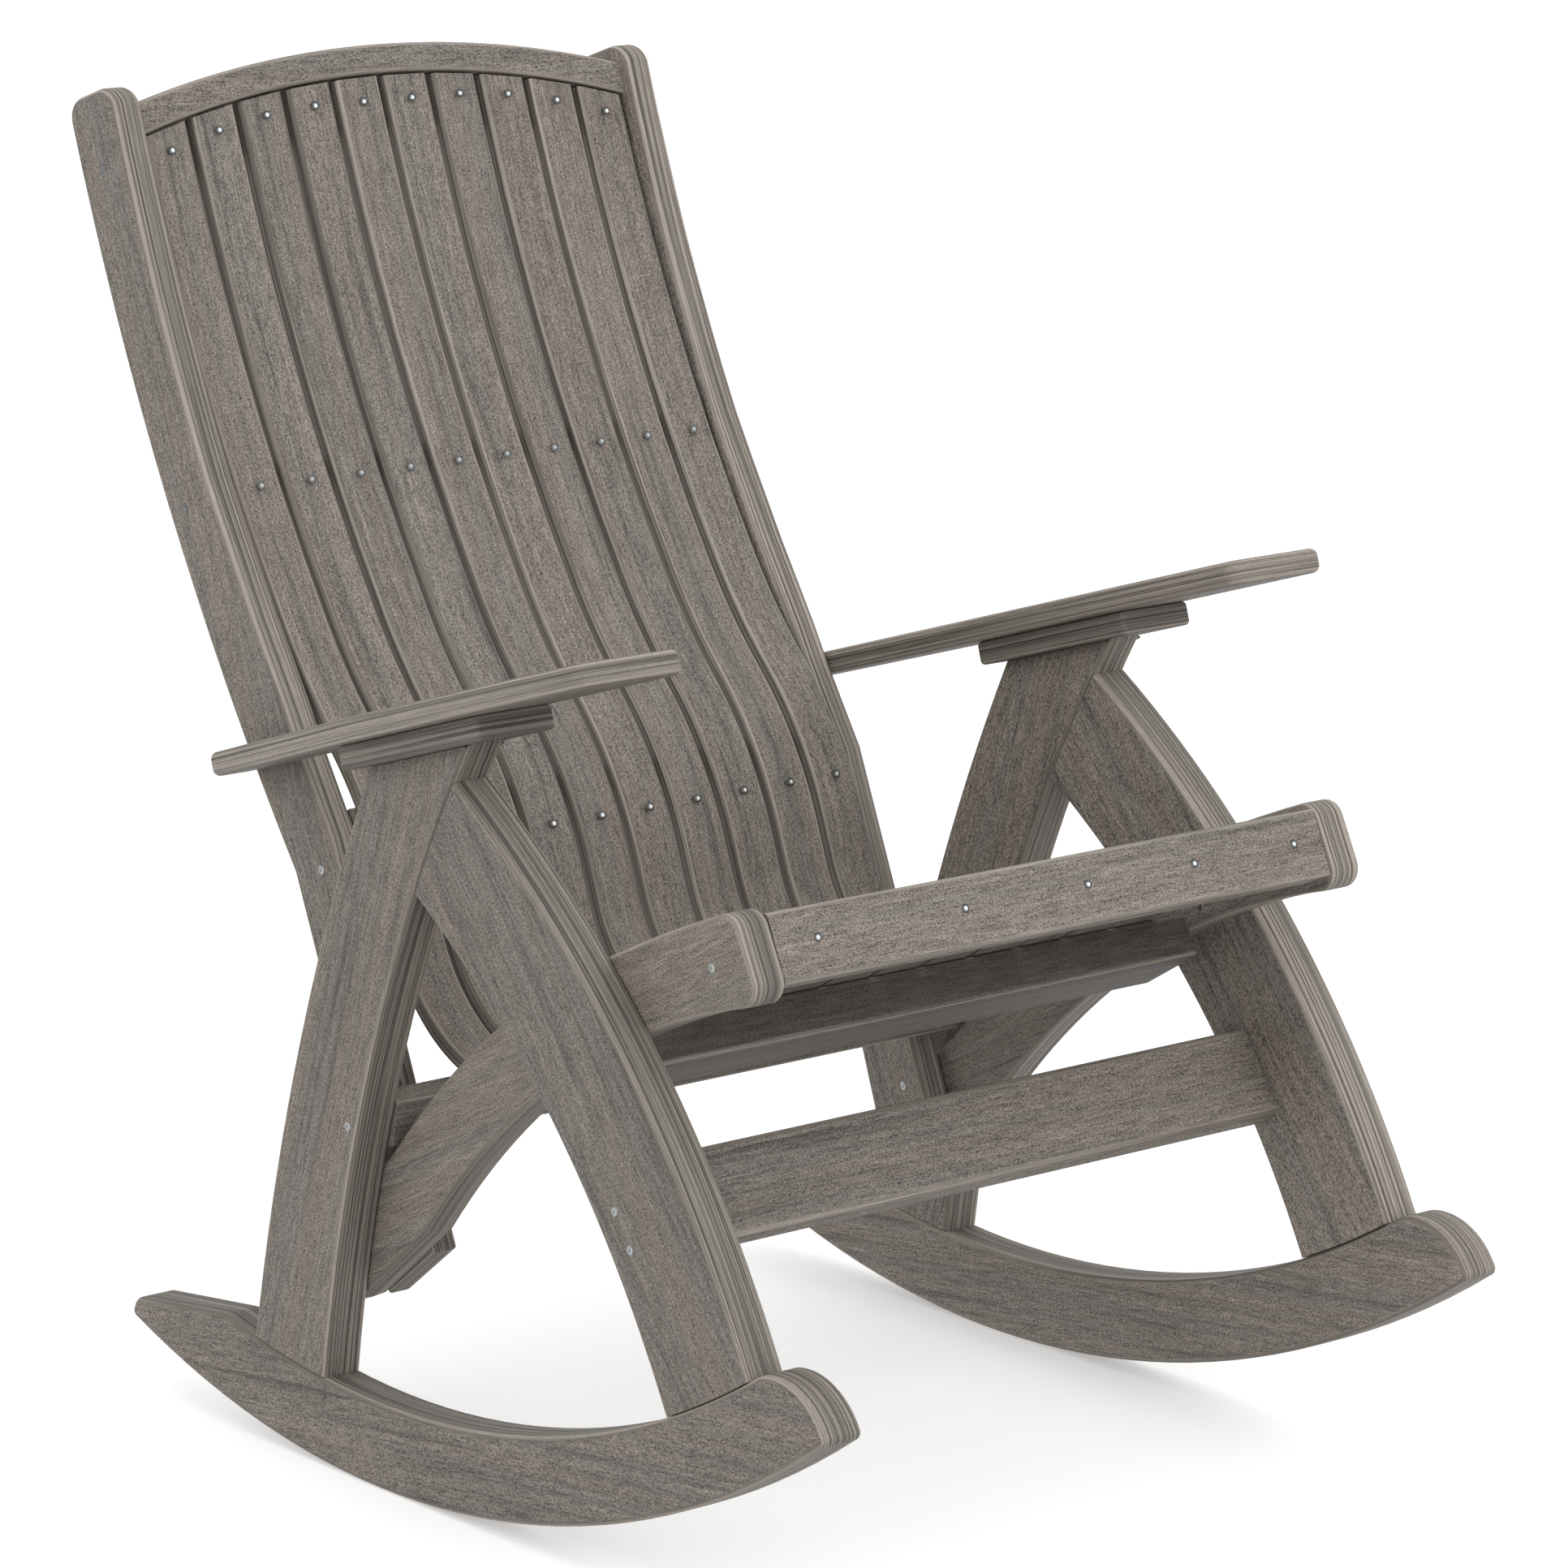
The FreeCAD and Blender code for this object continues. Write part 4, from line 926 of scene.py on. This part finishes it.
def make_screw_head():
    """One low pan head with a square socket, as rings that turn from round to square."""
    count = SCREW_SIDES
    points = []
    socket = []
    for size, square, height, deep in SCREW_RINGS:
        for index in range(count):
            angle = math.tau * index / count
            x, y = math.cos(angle), math.sin(angle)
            reach = size / max(abs(x), abs(y)) if square else size
            points.append((x * reach * MM, y * reach * MM, height * MM))
            socket.append(float(deep))
    faces = [list(range(len(points) - count, len(points))), list(range(count))[::-1]]
    faces += belts(len(SCREW_RINGS), count)
    mesh = bpy.data.meshes.new("screw_head")
    mesh.from_pydata(points, [], faces)
    mesh.attributes.new("socket", "FLOAT", "POINT").data.foreach_set("value", socket)
    mesh.shade_smooth()
    mesh.set_sharp_from_angle(angle=SCREW_SHARP_ANGLE)
    head = bpy.data.objects.new("screw_head", mesh)
    bpy.context.scene.collection.objects.link(head)
    return head


def make_screws():
    """All screw heads in one piece, each turned to face out of its board."""
    head = make_screw_head()
    tree = Grower("screw_setting", {"Head": ("Object", head),
                                    "Finish": ("Material", make_screw_finish())})
    facing = tree.add("GeometryNodeInputNamedAttribute", {"data_type": "FLOAT_VECTOR"},
                      Name="facing")
    turn = tree.add("FunctionNodeAlignRotationToVector", {"axis": "Z"}, Vector=facing)
    shape = tree.add("GeometryNodeObjectInfo", {}, Object=tree.given("Head"), output=4)
    heads = tree.add("GeometryNodeInstanceOnPoints", {}, Points=tree.given("Geometry"),
                     Instance=shape, Rotation=turn)
    tree.end(heads, tree.given("Finish"))
    places = screw_places()
    mesh = bpy.data.meshes.new("screws")
    mesh.from_pydata([tuple(c * MM for c in place) for place, way, reflection_shades in places], [], [])
    ways = mesh.attributes.new("facing", "FLOAT_VECTOR", "POINT")
    ways.data.foreach_set("vector", [c for place, way, reflection_shades in places for c in way])
    # Ring and centre brightness by the way each screw faces: painted reflection and highlight
    for number, name in enumerate(("ring", "centre")):
        tones = mesh.attributes.new(name, "FLOAT", "POINT")
        tones.data.foreach_set("value", [reflection_shades[number] for place, way, reflection_shades in places])
    spots = bpy.data.objects.new("screws", mesh)
    bpy.context.scene.collection.objects.link(spots)
    screws = tree.run(spots)
    bpy.data.objects.remove(head)
    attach(screws, "root")


def make_studio():
    """Pale floor, soft light from the front and above, and the camera."""
    scene = bpy.context.scene
    bpy.ops.mesh.primitive_plane_add(size=FLOOR_SIZE)
    floor = bpy.context.object
    floor.name = "floor"
    floor.data.materials.append(make_floor_finish())
    floor.visible_diffuse = False
    world = bpy.data.worlds.new("soft_sky")
    world.use_nodes = True
    scene.world = world
    sky = Graph(world.node_tree)
    height = sky.add("ShaderNodeSeparateXYZ", {}, (sky.add("ShaderNodeTexCoord"),), output=2)
    glow = sky.add("ShaderNodeMapRange", {"interpolation_type": "SMOOTHSTEP"},
                   (height, *SKY_SPAN, SKY_LOW, SKY_HIGH))
    background = world.node_tree.nodes["Background"]
    background.inputs[0].default_value = WHITE
    sky.plug(background.inputs[1], glow)
    for name, place, size, power in LAMPS:
        lamp = bpy.data.lights.new(name, "AREA")
        lamp.size = size
        lamp.energy = power
        light = bpy.data.objects.new(name, lamp)
        light.location = place
        aim = LAMP_TARGET - light.location
        light.rotation_euler = aim.to_track_quat("-Z", "Y").to_euler()
        scene.collection.objects.link(light)
    lens = bpy.data.cameras.new("camera")
    lens.lens = LENS
    lens.sensor_width = SENSOR
    lens.clip_end = FARTHEST
    camera = bpy.data.objects.new("camera", lens)
    camera.location = CAMERA_PLACE
    camera.rotation_euler = CAMERA_AIM.to_track_quat("-Z", "Y").to_euler()
    scene.collection.objects.link(camera)
    scene.camera = camera
    scene.view_settings.view_transform = "Standard"


random.seed(4)
make_side_boards()
make_arms()
make_bars()
make_crest()
make_slats()
make_screws()
make_studio()
